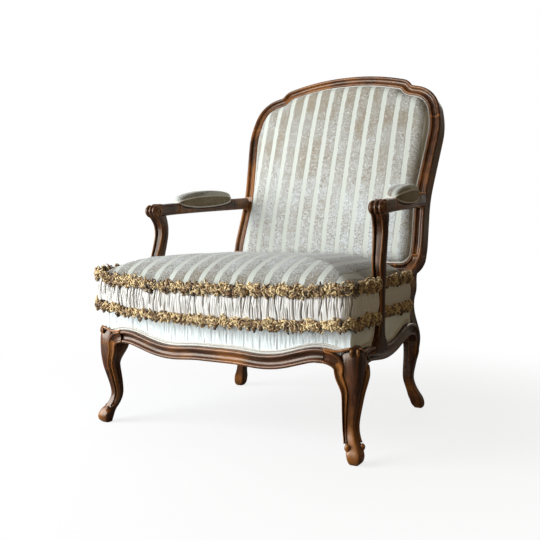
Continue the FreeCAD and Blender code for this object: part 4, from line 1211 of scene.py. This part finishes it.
def arm_pads():
    """Small stuffed pads in the scoops of the arms: striped on top, olive at the sides, piped between."""
    columns, power = 48, 0.42
    c, n = circle(columns)
    sideways = np.sign(c) * np.abs(c) ** power
    upward, downward = np.clip(n, 0, 1) ** 0.8, np.clip(-n, 0, 1) ** power
    share = (1 - np.cos(np.linspace(0, math.pi, 80))) / 2
    table = np.array(ARM)
    y = table[0, 0] + (table[-1, 0] - table[0, 0]) * share
    x, z, wide, tall = (np.interp(y, table[:, 0], table[:, k]) for k in range(1, 5))
    bow = np.clip(1 - (2 * share - 1) ** 2, 0.0004, 1)
    full = bow ** 0.22
    low = z + tall / 2 - PAD_SCOOP * bow ** 0.45
    seam = z + tall / 2 + PAD_SIDE_RISE * full + 0.004 * bow - 0.003
    half = (wide / 2 + PAD_PROUD) * full
    for side, mirror in SIDES:
        rings = []
        for i in range(len(y)):
            across = mirror * (x[i] + sideways * half[i])
            level = seam[i] + PAD_TOP_RISE * full[i] * upward + (low[i] - seam[i]) * downward
            rings.append(stacked(across, y[i], level))
        ends = [(mirror * x[i], y[i], seam[i]) for i in (-1, 0)]
        points, faces = ringed(rings, *ends)
        above = [int(face[0] % columns < columns // 2) for face in faces]
        piece = mesh_piece("arm_cushion_" + side, (points, faces), "olive_velvet", "striped_pad",
                           face_material=above)
        dress(piece, "olive_velvet", "arm_pad_" + side)
        tubes = []
        for level in (seam, low + 0.003):
            outer, inner = (stacked(mirror * (x + edge), y, level) for edge in (half, -half))
            loop = resample(np.vstack([outer, inner[::-1]]), True, 0.004)
            tubes.append(tube(loop, PAD_PIPING, closed=True))
        piping("arm_piping_" + side, tubes, "arm_pad_welt_" + side)


def deck_piping():
    """Double piping along the moulded band, and round the ends of the side panels."""
    inset = RAIL_SETBACK - CLOTH
    line = rounded_line([(-x, z, r) for x, z, r in reversed(FRONT_BAND)] + FRONT_BAND, False, 0.004)
    tubes = []
    for row in (1, PIPING_STEP + 1):
        moved = line + left_normals(line) * (BAND_WIDTH / 2 + row * WELT)
        tubes.append(tube(stacked(moved[:, 0], RAIL_FRONT_Y + inset - 0.001, moved[:, 1]), WELT))
    piping("deck_piping_front", tubes, "deck_welt_front")
    for side, mirror in SIDES:
        tubes = []
        for corners in (SIDE_PANEL_FRONT, SIDE_PANEL_REAR):
            line = rounded_line(corners, False, 0.003)
            for row in (0, PIPING_STEP):
                moved = line + left_normals(line) * row * WELT
                x = side_x(moved[:, 0], inset) + 0.0012
                tubes.append(tube(stacked(mirror * x, *moved.T), WELT))
        piping("deck_piping_" + side, tubes, "deck_welt_" + side)


def dust_cloth():
    """Black cloth under the seat, sagging a little."""
    low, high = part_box("dust_cover")
    top, bottom = high[2], low[2]
    ring = seat_ring(DUST_CLOTH_INSET, DUST_CLOTH_REAR_Y, 0.02, 0.01)
    rings = [at_height(ring, top), at_height(ring, bottom)]
    for share in (0.05, 0.2, 0.5, 0.8):
        rings.append(at_height(ring * (1 - share), bottom - DUST_CLOTH_SAG * share))
    shape = ringed(rings, (0, 0, bottom - DUST_CLOTH_SAG), (0, 0, top))
    piece = mesh_piece("bottom_cloth", shape, "black")
    dress(piece, "black_cloth", "dust_cover", "seat_webbing_crosswise", "seat_webbing_lengthwise")


# Stage.
def aimed(made, place, way):
    """Puts a camera or lamp at a place, looking a way."""
    made.location = place
    made.rotation_euler = way.to_track_quat("-Z", "Y").to_euler()


def camera():
    data = bpy.data.cameras.new("camera")
    data.lens = CAMERA_LENS
    data.sensor_width = 36.0
    made = linked("camera", data)
    aimed(made, CAMERA_PLACE + Vector(SHIFT), CAMERA_TARGET - CAMERA_PLACE)
    bpy.context.scene.camera = made


def lamp(name, place, target, size, power, colour):
    data = bpy.data.lights.new(name, "AREA")
    data.shape = "DISK"
    data.size = size
    data.energy = power
    data.color = colour
    aimed(linked(name, data), place, Vector(target) - Vector(place))


def floor():
    """Pale floor that keeps a faint shadow and is white to the camera."""
    far = 30.0
    mesh = bpy.data.meshes.new("floor")
    mesh.from_pydata([(-far, -far, 0), (far, -far, 0), (far, far, 0), (-far, far, 0)], [], [(0, 1, 2, 3)])
    made = linked("floor", mesh)
    s = Shader("floor", Roughness=0.9)
    seen = s.node("LightPath").outputs["Is Camera Ray"]
    s.finish(s.mix(seen, FLOOR_BOUNCE, FLOOR_SEEN))
    away = s.node("VectorMath", {"operation": "LENGTH"}, Vector=s.where()).outputs["Value"]
    white_share = s.math("MULTIPLY", seen, s.span(away, 0.5, 1.5, 0.80, 1.0))
    white = s.node("Emission", Color=WHITE, Strength=1.0)
    s.show("Material Output", white_share, s.surface.outputs[0], white.outputs[0])
    mesh.materials.append(s.material)


def world():
    """Soft light, cooler and stronger from the sitter's right, and white to the camera."""
    made = bpy.data.worlds.new("world")
    bpy.context.scene.world = made
    made.use_nodes = True
    s = Nodes(made.node_tree)
    across = s.axis("X", "Generated")
    light = s.tree.nodes["Background"]
    s.feed(light.inputs["Strength"], s.span(across, -0.5, 0.6, 0.44, 0.095, "LINEAR"))
    s.feed(light.inputs["Color"], s.mix(s.span(across, -0.3, 0.4, kind="LINEAR"), SKY_COOL, SKY_WARM))
    white = s.node("Background", Color=WHITE)
    seen = s.node("LightPath").outputs["Is Camera Ray"]
    s.show("World Output", seen, light.outputs[0], white.outputs[0])


def studio():
    bpy.context.scene.view_settings.view_transform = "Standard"
    camera()
    floor()
    world()
    for name, settings in LAMPS.items():
        lamp(name, *settings)


def dressed():
    make_materials()
    paint_nodes()
    carved_legs()
    carved_supports()
    carved_arms()
    inside_back()
    outside_back()
    back_piping()
    cushion_top()
    cushion_boxing()
    fringe("fringe_upper", BOXING_TOP, UPPER_FRINGE_HEIGHT, "cushion_fringe_top", 11)
    fringe("fringe_lower", BOXING_BOTTOM, LOWER_FRINGE_HEIGHT, "cushion_fringe_bottom", 12)
    seat_deck()
    deck_piping()
    arm_pads()
    dust_cloth()


studio()
dressed()
